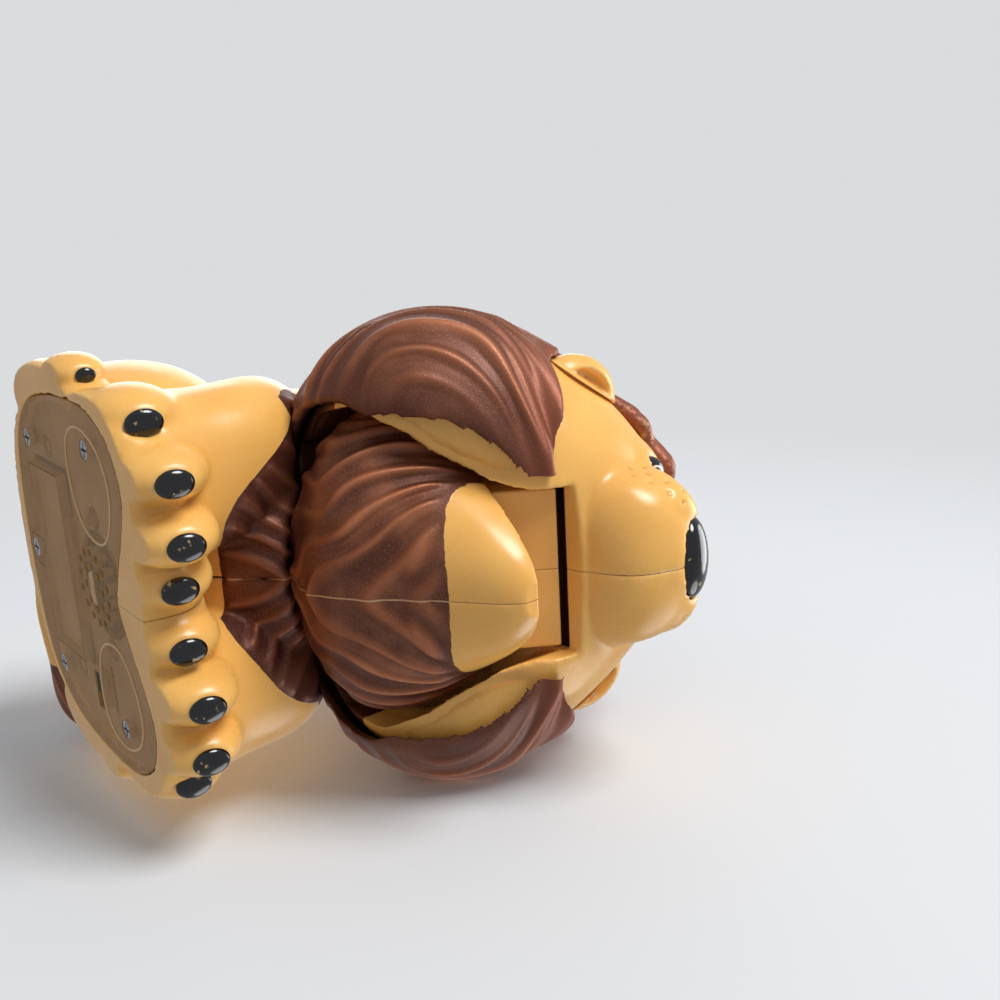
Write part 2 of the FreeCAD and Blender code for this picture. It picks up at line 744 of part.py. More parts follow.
def back_button():
    """The round push button: a flange, a barrel and a domed cap."""
    flange_end = button_stop_y - button_stop_gap
    dome_height = button_stands_out / 2.0
    button = button_bar(button_flange_radius, flange_end - button_flange_thickness, flange_end)
    button = button.fuse(button_bar(button_radius, flange_end - overlap, button_face_y - dome_height))
    dome_middle = Vector(0, button_face_y - dome_height, button_z)
    return button.fuse(ellipsoid(dome_middle, (button_radius, dome_height, button_radius)))


def push_rod():
    """The rod from the button to the jaw, with a round tip and a collar that works the switch."""
    start = button_stop_y - button_stop_gap - button_flange_thickness
    jaw_rear_y = head_y - jaw_rows[0][0]
    tip = jaw_rear_y + rod_jaw_gap + rod_radius
    bar = button_bar(rod_radius, tip, start)
    bar = bar.fuse(Part.makeSphere(rod_radius, Vector(0, tip, button_z)))
    return bar.fuse(button_bar(rod_collar_radius, rod_collar_y, rod_collar_y + rod_collar_length))


def coil(start, along, radius, wire, turns, length):
    """A coiled wire from start along a direction."""
    steps = turns * coil_points
    points = []
    for step in range(steps + 1):
        turn = 2.0 * math.pi * step / coil_points
        points.append(Vector(radius * math.cos(turn), radius * math.sin(turn), length * step / steps))
    path = Part.BSplineCurve()
    path.interpolate(points)
    heading = Vector(0, 2.0 * math.pi * radius, length / turns)
    ring = Part.Wire([Part.makeCircle(wire, points[0], heading)])
    shape = Part.Wire([path.toShape()]).makePipeShell([ring], True, True)
    shape.Placement = Placement(start, Rotation(Vector(0, 0, 1), along))
    return shape


def button_spring():
    """The button's spring, which stands on its room's floor and is as long as with the button pressed."""
    low = button_stop_y - spring_room_length + spring_wire_radius
    flange_front = button_stop_y - button_stop_gap - button_flange_thickness
    length = flange_front - button_travel - 2.0 * spring_wire_radius - low
    start = Vector(0, low, button_z)
    return coil(start, Vector(0, 1, 0), spring_radius, spring_wire_radius, spring_turns, length)


def jaw_spring():
    """The torsion spring round the pin, between the jaw's two barrels."""
    start = at_head(-jaw_spring_half_length, *hinge)
    length = 2.0 * jaw_spring_half_length
    return coil(start, Vector(1, 0, 0), jaw_spring_radius, jaw_spring_wire, jaw_spring_turns, length)


def jaw_pin():
    """The hinge pin across the head."""
    half = pin_half_length - screw_reach
    return cross_bar(*hinge, hinge_pin_radius, -half, half)


def screw(seat, along, length):
    """A cross-head screw whose head's underside is at seat and whose shank runs along a direction."""
    shank = rod(Vector(0, 0, 0), Vector(0, 0, length), screw_radius)
    head = rod(Vector(0, 0, -screw_head_height), Vector(0, 0, 0), screw_head_radius)
    half = screw_slot_width / 2.0
    low = -screw_head_height - overlap
    high = -screw_head_height + screw_slot_depth
    for size in ((screw_slot_reach, half), (half, screw_slot_reach)):
        head = head.cut(box((-size[0], -size[1], low), (size[0], size[1], high)))
    whole = shank.fuse(head)
    whole.Placement = Placement(seat, Rotation(Vector(0, 0, 1), along))
    return whole


def case_screws():
    """The screws across the body and the head, put in from the lion's left."""
    places = [Vector(case_screw_seat, y, z) for y, z in body_screw_places]
    places += [at_head(case_screw_seat, forward, up) for forward, up in head_screw_places]
    return [screw(place, Vector(-1, 0, 0), case_screw_length) for place in places]


def cut_case_screws(half, is_left, places):
    """A half shell with the bores of its cross screws."""
    for place in places:
        seat = Vector(case_screw_seat, place.y, place.z)
        end = Vector(case_screw_seat - case_screw_length - screw_reach, place.y, place.z)
        half = half.cut(rod(seat, end, screw_radius + running_gap))
        if is_left:
            half = half.cut(rod(seat, Vector(far, place.y, place.z), screw_head_radius + running_gap))
    return half


def tray_size(grow=0.0):
    """Half length across and the two y ends of the battery room, grown on every side."""
    half = battery_length / 2.0 + contact_room + grow
    reach = battery_pitch * (battery_count - 1) / 2.0 + battery_radius + battery_gap + grow
    return half, battery_middle_y - reach, battery_middle_y + reach


def battery_z():
    """The height of the batteries' middle line."""
    return door_thickness + battery_gap + battery_radius


def tray_top():
    """The height of the tray's upper face."""
    return battery_z() + battery_radius + battery_gap + tray_wall


def battery_lines():
    """The y of each battery's middle line, with the direction of its nub."""
    first = battery_middle_y - battery_pitch * (battery_count - 1) / 2.0
    return [(first + battery_pitch * i, 1.0 if i % 2 == 0 else -1.0) for i in range(battery_count)]


def tray_ears():
    """Places of the tray's two ears."""
    half = tray_size(tray_wall)[0] + tray_ear_out
    return [(half, battery_middle_y), (-half, battery_middle_y)]


def board_posts():
    """Places of the four posts under the circuit board."""
    x = board_length / 2.0 - board_inset
    y = board_width / 2.0 - board_inset
    return [(sx * x, battery_middle_y + sy * y) for sx, sy in ((-1, -1), (1, 1), (-1, 1), (1, -1))]


def battery_tray():
    """The battery room's walls and roof, with two ears for its screws and the board's posts."""
    half, low, high = tray_size()
    out, out_low, out_high = tray_size(tray_wall)
    tray = box((-out, out_low, base_thickness), (out, out_high, tray_top()))
    tray = tray.cut(box((-half, low, 0.0), (half, high, tray_top() - tray_wall)))
    ear_low = base_thickness + tray_ear_height
    for x, y in tray_ears():
        side = math.copysign(1.0, x)
        ends = sorted((side * out, x))
        ear_shape = rod(Vector(x, y, ear_low), Vector(x, y, ear_low + tray_wall), tray_ear_radius)
        low_corner = (ends[0], y - tray_ear_radius, ear_low)
        web = box(low_corner, (ends[1], y + tray_ear_radius, ear_low + tray_wall))
        tray = tray.fuse(ear_shape.fuse(web))
        tray = tray.cut(rod(Vector(x, y, ear_low - overlap), Vector(x, y, far), screw_radius + running_gap))
    posts_top = tray_top() + board_post_height
    for x, y in board_posts():
        post = rod(Vector(x, y, tray_top() - overlap), Vector(x, y, posts_top), board_post_radius)
        tray = tray.fuse(post)
    seat = posts_top + board_thickness
    bore_end = seat - small_screw_length - screw_reach
    for x, y in board_posts()[:2]:
        tray = tray.cut(rod(Vector(x, y, bore_end), Vector(x, y, seat), screw_radius + running_gap))
    return tray


def batteries():
    """The batteries, each with its nub, laid head to tail."""
    found = []
    half = battery_length / 2.0
    for y, way in battery_lines():
        z = battery_z()
        shoulder = way * (half - battery_nub_length)
        cell = rod(Vector(-way * half, y, z), Vector(shoulder, y, z), battery_radius)
        nub = rod(Vector(shoulder - way * overlap, y, z), Vector(way * half, y, z), battery_nub_radius)
        found.append(cell.fuse(nub))
    return found


def battery_contacts():
    """A plate at each end of the battery room, with a bump for each nub and a spring for each flat end."""
    half, low, high = tray_size()
    z = battery_z()
    face = half - contact_thickness
    free = face - battery_length / 2.0
    found = []
    for side in (-1.0, 1.0):
        ends = sorted((side * half, side * face))
        low_corner = (ends[0], low + battery_gap, z - battery_nub_radius)
        plate = box(low_corner, (ends[1], high - battery_gap, z + battery_nub_radius))
        for y, way in battery_lines():
            if way == side:
                tip = Vector(side * (face - free), y, z)
                plate = plate.fuse(rod(Vector(side * face, y, z), tip, battery_nub_radius))
            else:
                length = free - 2.0 * contact_spring_wire
                start = Vector(side * (face - contact_spring_wire), y, z)
                shape = (contact_spring_radius, contact_spring_wire, contact_spring_turns, length)
                found.append(coil(start, Vector(-side, 0, 0), *shape))
        found.append(plate)
    return found


def circuit_board():
    """The board with a chip, a capacitor and a plug, on the tray's posts."""
    low = tray_top() + board_post_height
    top = low + board_thickness
    y = battery_middle_y
    half_x = board_length / 2.0
    half_y = board_width / 2.0
    board = box((-half_x, y - half_y, low), (half_x, y + half_y, top))
    chip = Vector(*chip_size)
    corner = (-chip.x / 2.0, y - chip.y / 2.0, top)
    board = board.fuse(box(corner, (chip.x / 2.0, y + chip.y / 2.0, top + chip.z)))
    can = Vector(board_length / 4.0, y + board_width / 4.0, top)
    board = board.fuse(rod(can, can + Vector(0, 0, capacitor_height), capacitor_radius))
    plug = Vector(*plug_size)
    corner = (-half_x + board_inset * 2.0, y - half_y, top)
    board = board.fuse(box(corner, (corner[0] + plug.x, corner[1] + plug.y, top + plug.z)))
    for x, hole_y in board_posts()[:2]:
        start = Vector(x, hole_y, low - overlap)
        board = board.cut(rod(start, Vector(x, hole_y, far), screw_radius + running_gap))
    return board


def speaker():
    """The speaker: rim, cone and magnet, face down on the base."""
    middle = Vector(0, speaker_y, base_thickness)
    rim = rod(middle, middle + Vector(0, 0, speaker_rim_height), speaker_radius)
    cone_foot = speaker_radius - ring_lip - moving_gap
    cone_height = (speaker_height - speaker_rim_height) / 2.0
    cone_at = middle + Vector(0, 0, speaker_rim_height)
    cone = Part.makeCone(cone_foot, speaker_cone_radius, cone_height, cone_at)
    return rim.fuse(cone).fuse(rod(cone_at, middle + Vector(0, 0, speaker_height), speaker_cone_radius))


def ring_ears():
    """Places of the speaker ring's two screws."""
    out = speaker_radius + speaker_wall + ring_ear_out
    return [(out, speaker_y), (-out, speaker_y)]


def speaker_ring():
    """The ring that holds the speaker down."""
    low = base_thickness + speaker_rim_height
    middle = Vector(0, speaker_y, low)
    up = Vector(0, 0, ring_thickness)
    ring = rod(middle, middle + up, speaker_radius + speaker_wall)
    ears = ring_ears()
    corner = (ears[1][0], speaker_y - boss_radius, low)
    ring = ring.fuse(box(corner, (ears[0][0], speaker_y + boss_radius, low + ring_thickness)))
    for x, y in ears:
        ring = ring.fuse(rod(Vector(x, y, low), Vector(x, y, low) + up, boss_radius))
    ring = ring.cut(rod(middle, middle + up, speaker_radius - ring_lip))
    for x, y in ears:
        ring = ring.cut(rod(Vector(x, y, low), Vector(x, y, low) + up, screw_radius + running_gap))
    return ring


def small_screws():
    """The short screws of the battery tray, the circuit board and the speaker ring."""
    down = Vector(0, 0, -1)
    places = [Vector(x, y, base_thickness + tray_ear_height + tray_wall) for x, y in tray_ears()]
    board_top = tray_top() + board_post_height + board_thickness
    places += [Vector(x, y, board_top) for x, y in board_posts()[:2]]
    ring_top = base_thickness + speaker_rim_height + ring_thickness
    places += [Vector(x, y, ring_top) for x, y in ring_ears()]
    return [screw(place, down, small_screw_length) for place in places]


def base_screws():
    """The screws that hold the base plate to the body."""
    places = [Vector(side * x, y, base_screw_seat) for x, y in base_screw_places for side in (-1.0, 1.0)]
    return [screw(place, Vector(0, 0, 1), base_screw_length) for place in places]


def door_screw_place():
    """The middle of the battery door's screw tab."""
    return Vector(0, tray_size()[2] + door_tab_out, 0)


def battery_door():
    """The door under the batteries: a front lip, and a rear tab with a screw hole."""
    half, low, high = tray_size(-door_gap)
    door = box((-half, low, 0.0), (half, high, door_thickness))
    tab = door_screw_place()
    door = door.fuse(box((-door_tab_radius, high - overlap, 0.0), (door_tab_radius, tab.y, door_thickness)))
    door = door.fuse(rod(tab, tab + Vector(0, 0, door_thickness), door_tab_radius))
    lip = door_lip_half_width
    door = door.fuse(box((-lip, low - door_lip_reach, door_lip_low), (lip, low + overlap, door_thickness)))
    door = door.cut(rod(tab, tab + Vector(0, 0, far), screw_radius + running_gap))
    return door.cut(rod(tab, tab + Vector(0, 0, door_screw_seat), screw_head_radius + running_gap))


def door_screw():
    """The battery door's screw."""
    return screw(door_screw_place() + Vector(0, 0, door_screw_seat), Vector(0, 0, 1), small_screw_length)


def power_knob():
    """The sliding knob of the power switch, in a slot of the base; it slides along +X."""
    x, y = knob_place
    half_x = knob_length / 2.0
    half_y = knob_width / 2.0
    top = base_thickness + fit_gap
    grip = box((x - half_x, y - half_y, knob_recess), (x + half_x, y + half_y, top + overlap))
    out_x = half_x + knob_rim
    out_y = half_y + knob_rim
    rim = box((x - out_x, y - out_y, top), (x + out_x, y + out_y, top + knob_rim_height))
    return grip.fuse(rim)


def power_switch():
    """The power switch's case, which bridges the knob's rim and stands on the base."""
    x, y = knob_place
    reach_x = knob_length / 2.0 + knob_rim + moving_gap
    reach_y = knob_width / 2.0 + knob_rim + moving_gap
    channel_top = base_thickness + 2.0 * fit_gap + knob_rim_height
    low = (x - reach_x, y - reach_y - tray_wall, base_thickness)
    high = (x + reach_x + knob_travel, y + reach_y + tray_wall, channel_top + knob_switch_height)
    case = box(low, high)
    return case.cut(box((low[0] - overlap, y - reach_y, 0.0), (high[0] + overlap, y + reach_y, channel_top)))


def base_plate():
    """The base: grille, battery opening, knob slot, screw seats, and the bosses and walls on it."""
    plate = base_prism(0.0, 0.0, base_thickness)
    middle = Vector(0, speaker_y, base_thickness)
    rim_up = Vector(0, 0, speaker_rim_height)
    wall_ring = rod(middle - Vector(0, 0, overlap), middle + rim_up, speaker_radius + speaker_wall)
    plate = plate.fuse(wall_ring)
    bosses = [(x, y, speaker_rim_height, boss_radius - overlap) for x, y in ring_ears()]
    bosses += [(x, y, tray_ear_height, tray_ear_radius) for x, y in tray_ears()]
    tab = door_screw_place()
    bosses.append((tab.x, tab.y, door_boss_height, boss_radius))
    for x, y, height, radius in bosses:
        foot = Vector(x, y, base_thickness - overlap)
        plate = plate.fuse(rod(foot, Vector(x, y, base_thickness + height), radius))
    plate = plate.cut(rod(middle, middle + rim_up, speaker_radius + fit_gap))
    ring_seat = base_thickness + speaker_rim_height + ring_thickness
    tray_seat = base_thickness + tray_ear_height + tray_wall
    bores = [(x, y, ring_seat) for x, y in ring_ears()] + [(x, y, tray_seat) for x, y in tray_ears()]
    for x, y, seat in bores:
        low = seat - small_screw_length - screw_reach
        plate = plate.cut(rod(Vector(x, y, low), Vector(x, y, seat), screw_radius + running_gap))
    for ring_radius, count in grille_rings:
        for step in range(count):
            turn = 2.0 * math.pi * step / count
            at = Vector(ring_radius * math.cos(turn), speaker_y + ring_radius * math.sin(turn), -through)
            plate = plate.cut(rod(at, at + Vector(0, 0, base_thickness + 2.0 * through), grille_hole_radius))
    half, low, high = tray_size()
    plate = plate.cut(box((-half, low, -through), (half, high, base_thickness + through)))
    lip = door_lip_half_width + door_gap
    corner = (-lip, low - door_lip_reach, door_lip_low - fit_gap)
    plate = plate.cut(box(corner, (lip, low + overlap, base_thickness)))
    tab_room = door_tab_radius + door_gap
    shelf = door_thickness + fit_gap
    plate = plate.cut(box((-tab_room, high - overlap, -through), (tab_room, tab.y, shelf)))
    plate = plate.cut(rod(tab - Vector(0, 0, through), tab + Vector(0, 0, shelf), tab_room))
    door_top = door_screw_seat + small_screw_length + screw_reach
    plate = plate.cut(rod(tab, tab + Vector(0, 0, door_top), screw_radius + running_gap))
    for x, y in base_screw_places:
        for side in (-1.0, 1.0):
            at = Vector(side * x, y, -through)
            above = Vector(side * x, y, base_thickness + through)
            seat = Vector(side * x, y, base_screw_seat)
            plate = plate.cut(rod(at, above, screw_radius + running_gap))
            plate = plate.cut(rod(at, seat, screw_head_radius + running_gap))
    x, y = knob_place
    half_x = knob_length / 2.0 + knob_gap
    half_y = knob_width / 2.0 + knob_gap
    corner = (x - half_x, y - half_y, -through)
    return plate.cut(box(corner, (x + half_x + knob_travel, y + half_y, base_thickness + through)))


def tail_peg(grow=0.0):
    """The tail's peg through the rear wall of the body."""
    x, y, z, radius = tail_rows[0]
    return rod(Vector(x, tail_flange_y, z), Vector(x, y + overlap, z), tail_peg_radius + grow)


def tail():
    """The tail, curled forward along the left haunch, with its tuft, peg and inner flange."""
    points = [Vector(x, y, z) for x, y, z, radius in tail_rows]
    wires = []
    for i, point in enumerate(points):
        along = points[min(i + 1, len(points) - 1)] - points[max(i - 1, 0)]
        along.normalize()
        across = along.cross(Vector(0, 0, 1))
        across.normalize()
        radius = tail_rows[i][3]
        wires.append(oval(point, across, across.cross(along), radius, radius, 2.0))
    x, y, z, radius = tail_rows[0]
    flange_start = Vector(x, tail_flange_y, z)
    flange = rod(flange_start, flange_start + Vector(0, tail_flange_thickness, 0), tail_flange_radius)
    return Part.makeLoft(wires, True, False).fuse(tail_peg()).fuse(flange)


def grouped(shapes):
    """Several separate solids in one shape."""
    return Part.makeCompound([solid for shape in shapes for solid in shape.Solids])


def main():
    os.makedirs("parts", exist_ok=True)
    body = body_half(body_outer())
    body_places = [Vector(0, y, z) for y, z in body_screw_places]
    write(solids_only(cut_case_screws(body, True, body_places)), "body_left")
    write(solids_only(cut_case_screws(mirrored(body), False, body_places)), "body_right")
    head = head_half()
    head_places = [at_head(0.0, forward, up) for forward, up in head_screw_places]
    write(solids_only(cut_case_screws(head, True, head_places)), "head_left")
    write(solids_only(cut_case_screws(mirrored(head), False, head_places)), "head_right")
    mane = mane_half()
    write(solids_only(cut_case_screws(mane, True, head_places)), "mane_left")
    write(solids_only(mirrored(mane)), "mane_right")
    jaw = jaw_half()
    write(solids_only(jaw), "jaw_left")
    write(solids_only(mirrored(jaw)), "jaw_right")
    left_claws = [claw_at(x, y) for x, y in toe_places] + [hind_claw_at(x, y) for x, y in hind_toe_places]
    write(grouped(left_claws), "claws_left")
    write(grouped([mirrored(claw) for claw in left_claws]), "claws_right")
    write(grouped([eye(-1.0), eye(1.0)]), "eyes")
    write(nose(), "nose")
    write(tail(), "tail")
    write(neck_tube(), "neck_tube")
    write(voice_switch(), "voice_switch")
    write(back_button(), "back_button")
    write(push_rod(), "push_rod")
    write(button_spring(), "button_spring")
    write(jaw_spring(), "jaw_spring")
    write(jaw_pin(), "jaw_pin")
    write(grouped(case_screws()), "case_screws")
    write(base_plate(), "base_plate")
    write(grouped(base_screws()), "base_screws")
    write(battery_tray(), "battery_tray")
    write(grouped(batteries()), "batteries")
    write(grouped(battery_contacts()), "battery_contacts")
    write(circuit_board(), "circuit_board")
    write(speaker(), "speaker")
    write(speaker_ring(), "speaker_ring")
    write(grouped(small_screws()), "small_screws")
    write(battery_door(), "battery_door")
    write(door_screw(), "door_screw")
    write(power_knob(), "power_knob")
    write(power_switch(), "power_switch")


main()
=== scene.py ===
"""Talking animal figure, dressed: a moulded plastic lion with a painted mane, seen from below."""
import json
import math

import bpy
import numpy as np
from mathutils import Matrix, Vector

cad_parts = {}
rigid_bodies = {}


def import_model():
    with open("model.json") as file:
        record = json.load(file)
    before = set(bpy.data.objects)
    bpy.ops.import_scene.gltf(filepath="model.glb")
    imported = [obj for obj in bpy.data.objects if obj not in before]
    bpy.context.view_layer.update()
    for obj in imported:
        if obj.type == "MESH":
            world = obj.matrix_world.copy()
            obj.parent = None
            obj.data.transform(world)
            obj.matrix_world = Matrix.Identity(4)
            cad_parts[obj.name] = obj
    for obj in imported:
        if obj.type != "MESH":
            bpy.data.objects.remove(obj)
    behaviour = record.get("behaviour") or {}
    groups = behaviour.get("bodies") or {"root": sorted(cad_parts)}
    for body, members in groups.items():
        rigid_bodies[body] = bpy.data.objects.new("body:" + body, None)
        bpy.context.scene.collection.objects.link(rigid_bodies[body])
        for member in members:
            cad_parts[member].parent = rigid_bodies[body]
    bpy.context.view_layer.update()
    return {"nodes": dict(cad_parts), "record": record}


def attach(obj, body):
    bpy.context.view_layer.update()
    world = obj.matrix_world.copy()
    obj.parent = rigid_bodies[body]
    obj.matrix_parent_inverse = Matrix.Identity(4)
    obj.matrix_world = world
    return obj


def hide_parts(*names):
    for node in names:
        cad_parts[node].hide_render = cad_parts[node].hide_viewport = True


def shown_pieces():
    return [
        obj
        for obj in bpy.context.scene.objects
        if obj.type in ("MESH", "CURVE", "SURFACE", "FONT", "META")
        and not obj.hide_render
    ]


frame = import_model()
nodes = frame["nodes"]
scene = bpy.context.scene

# Lengths below are in millimetres, and angles in degrees where a name doesn't say otherwise

MM = 0.001

# The middle of the skull, from which the head is measured sideways, forward and up
HEAD_Y = -51.0
HEAD_Z = 88.0

# The even grids of the skins
BODY_GRID = 0.75
HEAD_GRID = 0.6
MANE_GRID = 0.6
JAW_GRID = 0.5
TAIL_GRID = 0.5

# Forms of the solids that the skins follow
HINGE_FORWARD = -25.0
HINGE_UP = -10.0
DECK_SLOPE = -5.0  # of the jaw's upper face
DECK_DROP = 0.4  # of that face below the line through the hinge
EYE_SIDE = 17.6
EYE_UP = 31.0
EAR = (38.3, 5.5, 18.8)  # the ears' middle: sideways, forward and up
EAR_RADII = (9.8, 5.6, 11.2)
TUFT = (46.0, 48.0, 6.3)  # the middle of the tail's tuft
TUFT_START = 38.5  # x from which the tail is painted

# The seam between two halves
SEAM_DRAW = 0.42  # how far each half's rim is drawn past the middle plane
SEAM_NEAR = 0.4  # up to here the rim is drawn in full
SEAM_FAR = 2.4  # and from here not at all

# The mane, forward and up: the edge round the face, the lower rim and its front corner
FACE_EDGE = [
    (26.5, -2.0), (18.5, 5.0), (8.0, 12.0), (-1.0, 22.0), (-1.0, 38.0), (12.0, 50.0), (12.0, 60.0),
]
LOWER_RIM = [(-60.0, -44.0), (-14.0, -41.5), (-2.0, -37.0), (8.0, -29.0), (27.0, -7.0)]
RIM_CORNER = (26.8, -4.5)
MANE_BEHIND = 12.0  # the mane's middle behind the skull's
MANE_RADIUS = 50.0  # round the head, on which its arcs are measured
MANE_CURL = (10.0, -38.0)  # forward and along the arc: the point that the locks curl round
MANE_CURL_RISE = 9.0  # outward for each radian
MANE_LOCK = 6.4
MANE_RELIEF = 1.9
MANE_SINK = 0.6  # of the ground between the locks
MANE_SWELL = {"mane_left": 0.4, "mane_right": 1.3}
CROWN_SWELL = 4.4
MANE_INNER = 0.45  # how far the inside is moved out
TIP_REACH = 3.2  # of the tips over the face
TIP_PITCH = 12.0

# The jaw
CHIN_FRONT = 21.3  # forward edge of the beard in the middle
CHIN_CURVE = 0.0145
THROAT_UP = 14.0  # the strands fan out from this height
FAN_WIDTH = 30.0  # across for each radian
BEARD_LOCK = 4.1
BEARD_RELIEF = 2.1
BEARD_SINK = 0.5

# The head
EAR_GROWTH = 0.22
EAR_SHIFT = (-3.0, -2.5, -1.0)  # outward, y and z
EAR_ROOT = (-5.0, 0.0, -2.0)  # from the ear's middle: outward, y and z
LID_SWELL = 1.3
PIT_DEPTH = 0.75
COVERED_SINK = 1.0  # of the cheek under the mane's lower rim
RIM_CUT_UP = 4.0  # the cheek's edge lies this far above the mane's rim
THROAT_SHADE_PAINT = (-14.0, -12.0)  # forward and up: behind and below this the head gets the mane's brown paint, as painted shade over a pocket that lies in shade

# Pits on the upper cheek of the muzzle: sideways, forward, up and radius
PITS = [
    (22.0, 25.5, 16.5, 1.2), (21.6, 28.0, 19.5, 1.3), (21.0, 31.0, 17.5, 1.1), (20.6, 31.5, 22.0, 1.4),
    (19.6, 34.6, 20.0, 1.2), (18.6, 35.4, 24.0, 1.2), (17.0, 38.0, 22.5, 1.1), (20.9, 28.0, 24.0, 1.1),
    (16.4, 37.8, 27.0, 1.0), (21.9, 25.0, 21.5, 1.0), (14.6, 40.0, 25.0, 0.9),
]

# The body
CHEST_LOW = 23.0  # height of the painted chest's edge in the middle
CHEST_FLAT = 11.0  # half width over which it stays there
CHEST_CURVE = 0.032
CHEST_HIGH = 46.0
BACK_START = -22.0  # y from which the edge climbs to the back
BACK_CLIMB = 0.85
WAVE_HEIGHT = 1.6  # of the painted edge
WAVE_COUNT = 15.0  # for each radian
WAVE_MIDDLE = 30.0  # y of the point that the waves go round
CHEST_MIDDLE = 12.0  # y
TURN_MIDDLE = 34.0  # y of the point that the strands are counted round
TURN_WIDTH = 46.0  # across for each radian
CHEST_LOCK = 5.6
CHEST_RELIEF = 1.7
CHEST_SINK = 0.2

# The tail
TUFT_LOCK = 3.4
TUFT_WIDTH = 5.0  # across for each radian
TUFT_RELIEF = 0.9
TUFT_SINK = 0.3

# Steps of the hash behind the noise
HASH_X, HASH_Y, HASH_Z, HASH_SEED, HASH_MIX = 73856093, 19349663, 83492791, 2654435, 12741261


# Numbers and noise

def smooth(low, high, value):
    """0 below low, 1 above high, and a soft step between them."""
    t = np.clip((value - low) / (high - low), 0.0, 1.0)
    return t * t * (3.0 - 2.0 * t)


def noise(points, size, seed):
    """Smooth noise from -1 to 1 whose features are about size wide."""
    q = points / size
    cell = np.floor(q).astype(np.int64)
    part = q - cell
    part = part * part * (3.0 - 2.0 * part)
    total = np.zeros(len(q))
    for corner in range(8):
        step = np.array([(corner >> k) & 1 for k in range(3)])
        n = cell + step
        h = n[:, 0] * HASH_X ^ n[:, 1] * HASH_Y ^ n[:, 2] * HASH_Z ^ seed * HASH_SEED
        h = ((h ^ (h >> 13)) * HASH_MIX) & 0x7FFFFFFF
        h = (h ^ (h >> 15)) & 0xFFFF
        total += np.prod(np.where(step, part, 1.0 - part), axis=1) * (h / 32767.5 - 1.0)
    return total


def ridges(t, sharp):
    """Raised lines, one for each whole number of t."""
    return (0.5 + 0.5 * np.cos(2.0 * math.pi * t)) ** sharp


# Skins: closed meshes made from the solids, with soft edges and carved hair

def remeshed(node, voxel):
    """A copy of a node's mesh on an even grid: object, points in millimetres, edges."""
    source = bpy.data.objects.new("source", nodes[node].data.copy())
    scene.collection.objects.link(source)
    modifier = source.modifiers.new("grid", "REMESH")
    modifier.mode = "VOXEL"
    modifier.voxel_size = voxel * MM
    modifier.use_smooth_shade = True
    depsgraph = bpy.context.evaluated_depsgraph_get()
    mesh = bpy.data.meshes.new_from_object(source.evaluated_get(depsgraph))
    bpy.data.objects.remove(source)
    mesh.materials.clear()
    mesh.name = node + "_skin"
    skin = bpy.data.objects.new(node + "_skin", mesh)
    scene.collection.objects.link(skin)
    points = np.empty(len(mesh.vertices) * 3)
    mesh.vertices.foreach_get("co", points)
    edges = np.empty(len(mesh.edges) * 2, np.int32)
    mesh.edges.foreach_get("vertices", edges)
    return skin, points.reshape(-1, 3) / MM, edges.reshape(-1, 2)


def neighbour_mean(values, edges):
    """The mean of each point's neighbours' values."""
    count = len(values)
    near = np.bincount(edges.ravel(), minlength=count).astype(float)
    found = np.empty_like(values)
    flat = values if values.ndim == 2 else values[:, None]
    out = found if values.ndim == 2 else found[:, None]
    for k in range(flat.shape[1]):
        v = flat[:, k]
        total = np.bincount(edges[:, 0], weights=v[edges[:, 1]], minlength=count)
        total += np.bincount(edges[:, 1], weights=v[edges[:, 0]], minlength=count)
        out[:, k] = total / np.maximum(near, 1.0)
    return found


def relaxed(points, edges, rounds):
    """Points with the grid's steps smoothed out, at full size."""
    for _ in range(rounds):
        for step in (0.55, -0.57):
            points = points + (neighbour_mean(points, edges) - points) * step
    return points


def softened(points, edges, rounds, weight):
    """Points with creases filled and edges rounded where weight is."""
    for _ in range(rounds):
        points = points + (neighbour_mean(points, edges) - points) * (0.5 * weight)[:, None]
    return points


def closed_seam(points):
    """Points drawn a little past the middle plane, so that the rounded rims of two halves meet."""
    side = math.copysign(1.0, points[:, 0].mean())
    points = points.copy()
    points[:, 0] -= side * SEAM_DRAW * (1.0 - smooth(SEAM_NEAR, SEAM_FAR, side * points[:, 0]))
    return points


def place(skin, points):
    """Puts the points on the skin and gives back its normals."""
    mesh = skin.data
    mesh.vertices.foreach_set("co", (points * MM).ravel())
    mesh.update()
    normals = np.empty(len(points) * 3)
    mesh.vertex_normals.foreach_get("vector", normals)
    return normals.reshape(-1, 3)


def keep(skin, name, values):
    """Stores a number at each point for the materials."""
    layer = skin.data.attributes.new(name, "FLOAT", "POINT")
    layer.data.foreach_set("value", values.astype(np.float32))


def hollows(points, normals, edges):
    """Negative in creases and positive on edges, about -1 to 1."""
    bend = np.einsum("ij,ij->i", points - neighbour_mean(points, edges), normals)
    for _ in range(3):
        bend = 0.5 * bend + 0.5 * neighbour_mean(bend, edges)
    return np.clip(bend * 14.0, -1.0, 1.0)


def facing(normals, away):
    """How far each normal points the way that away does: 1 where it points straight so."""
    return np.einsum("ij,ij->i", normals, away / np.linalg.norm(away, axis=1)[:, None])


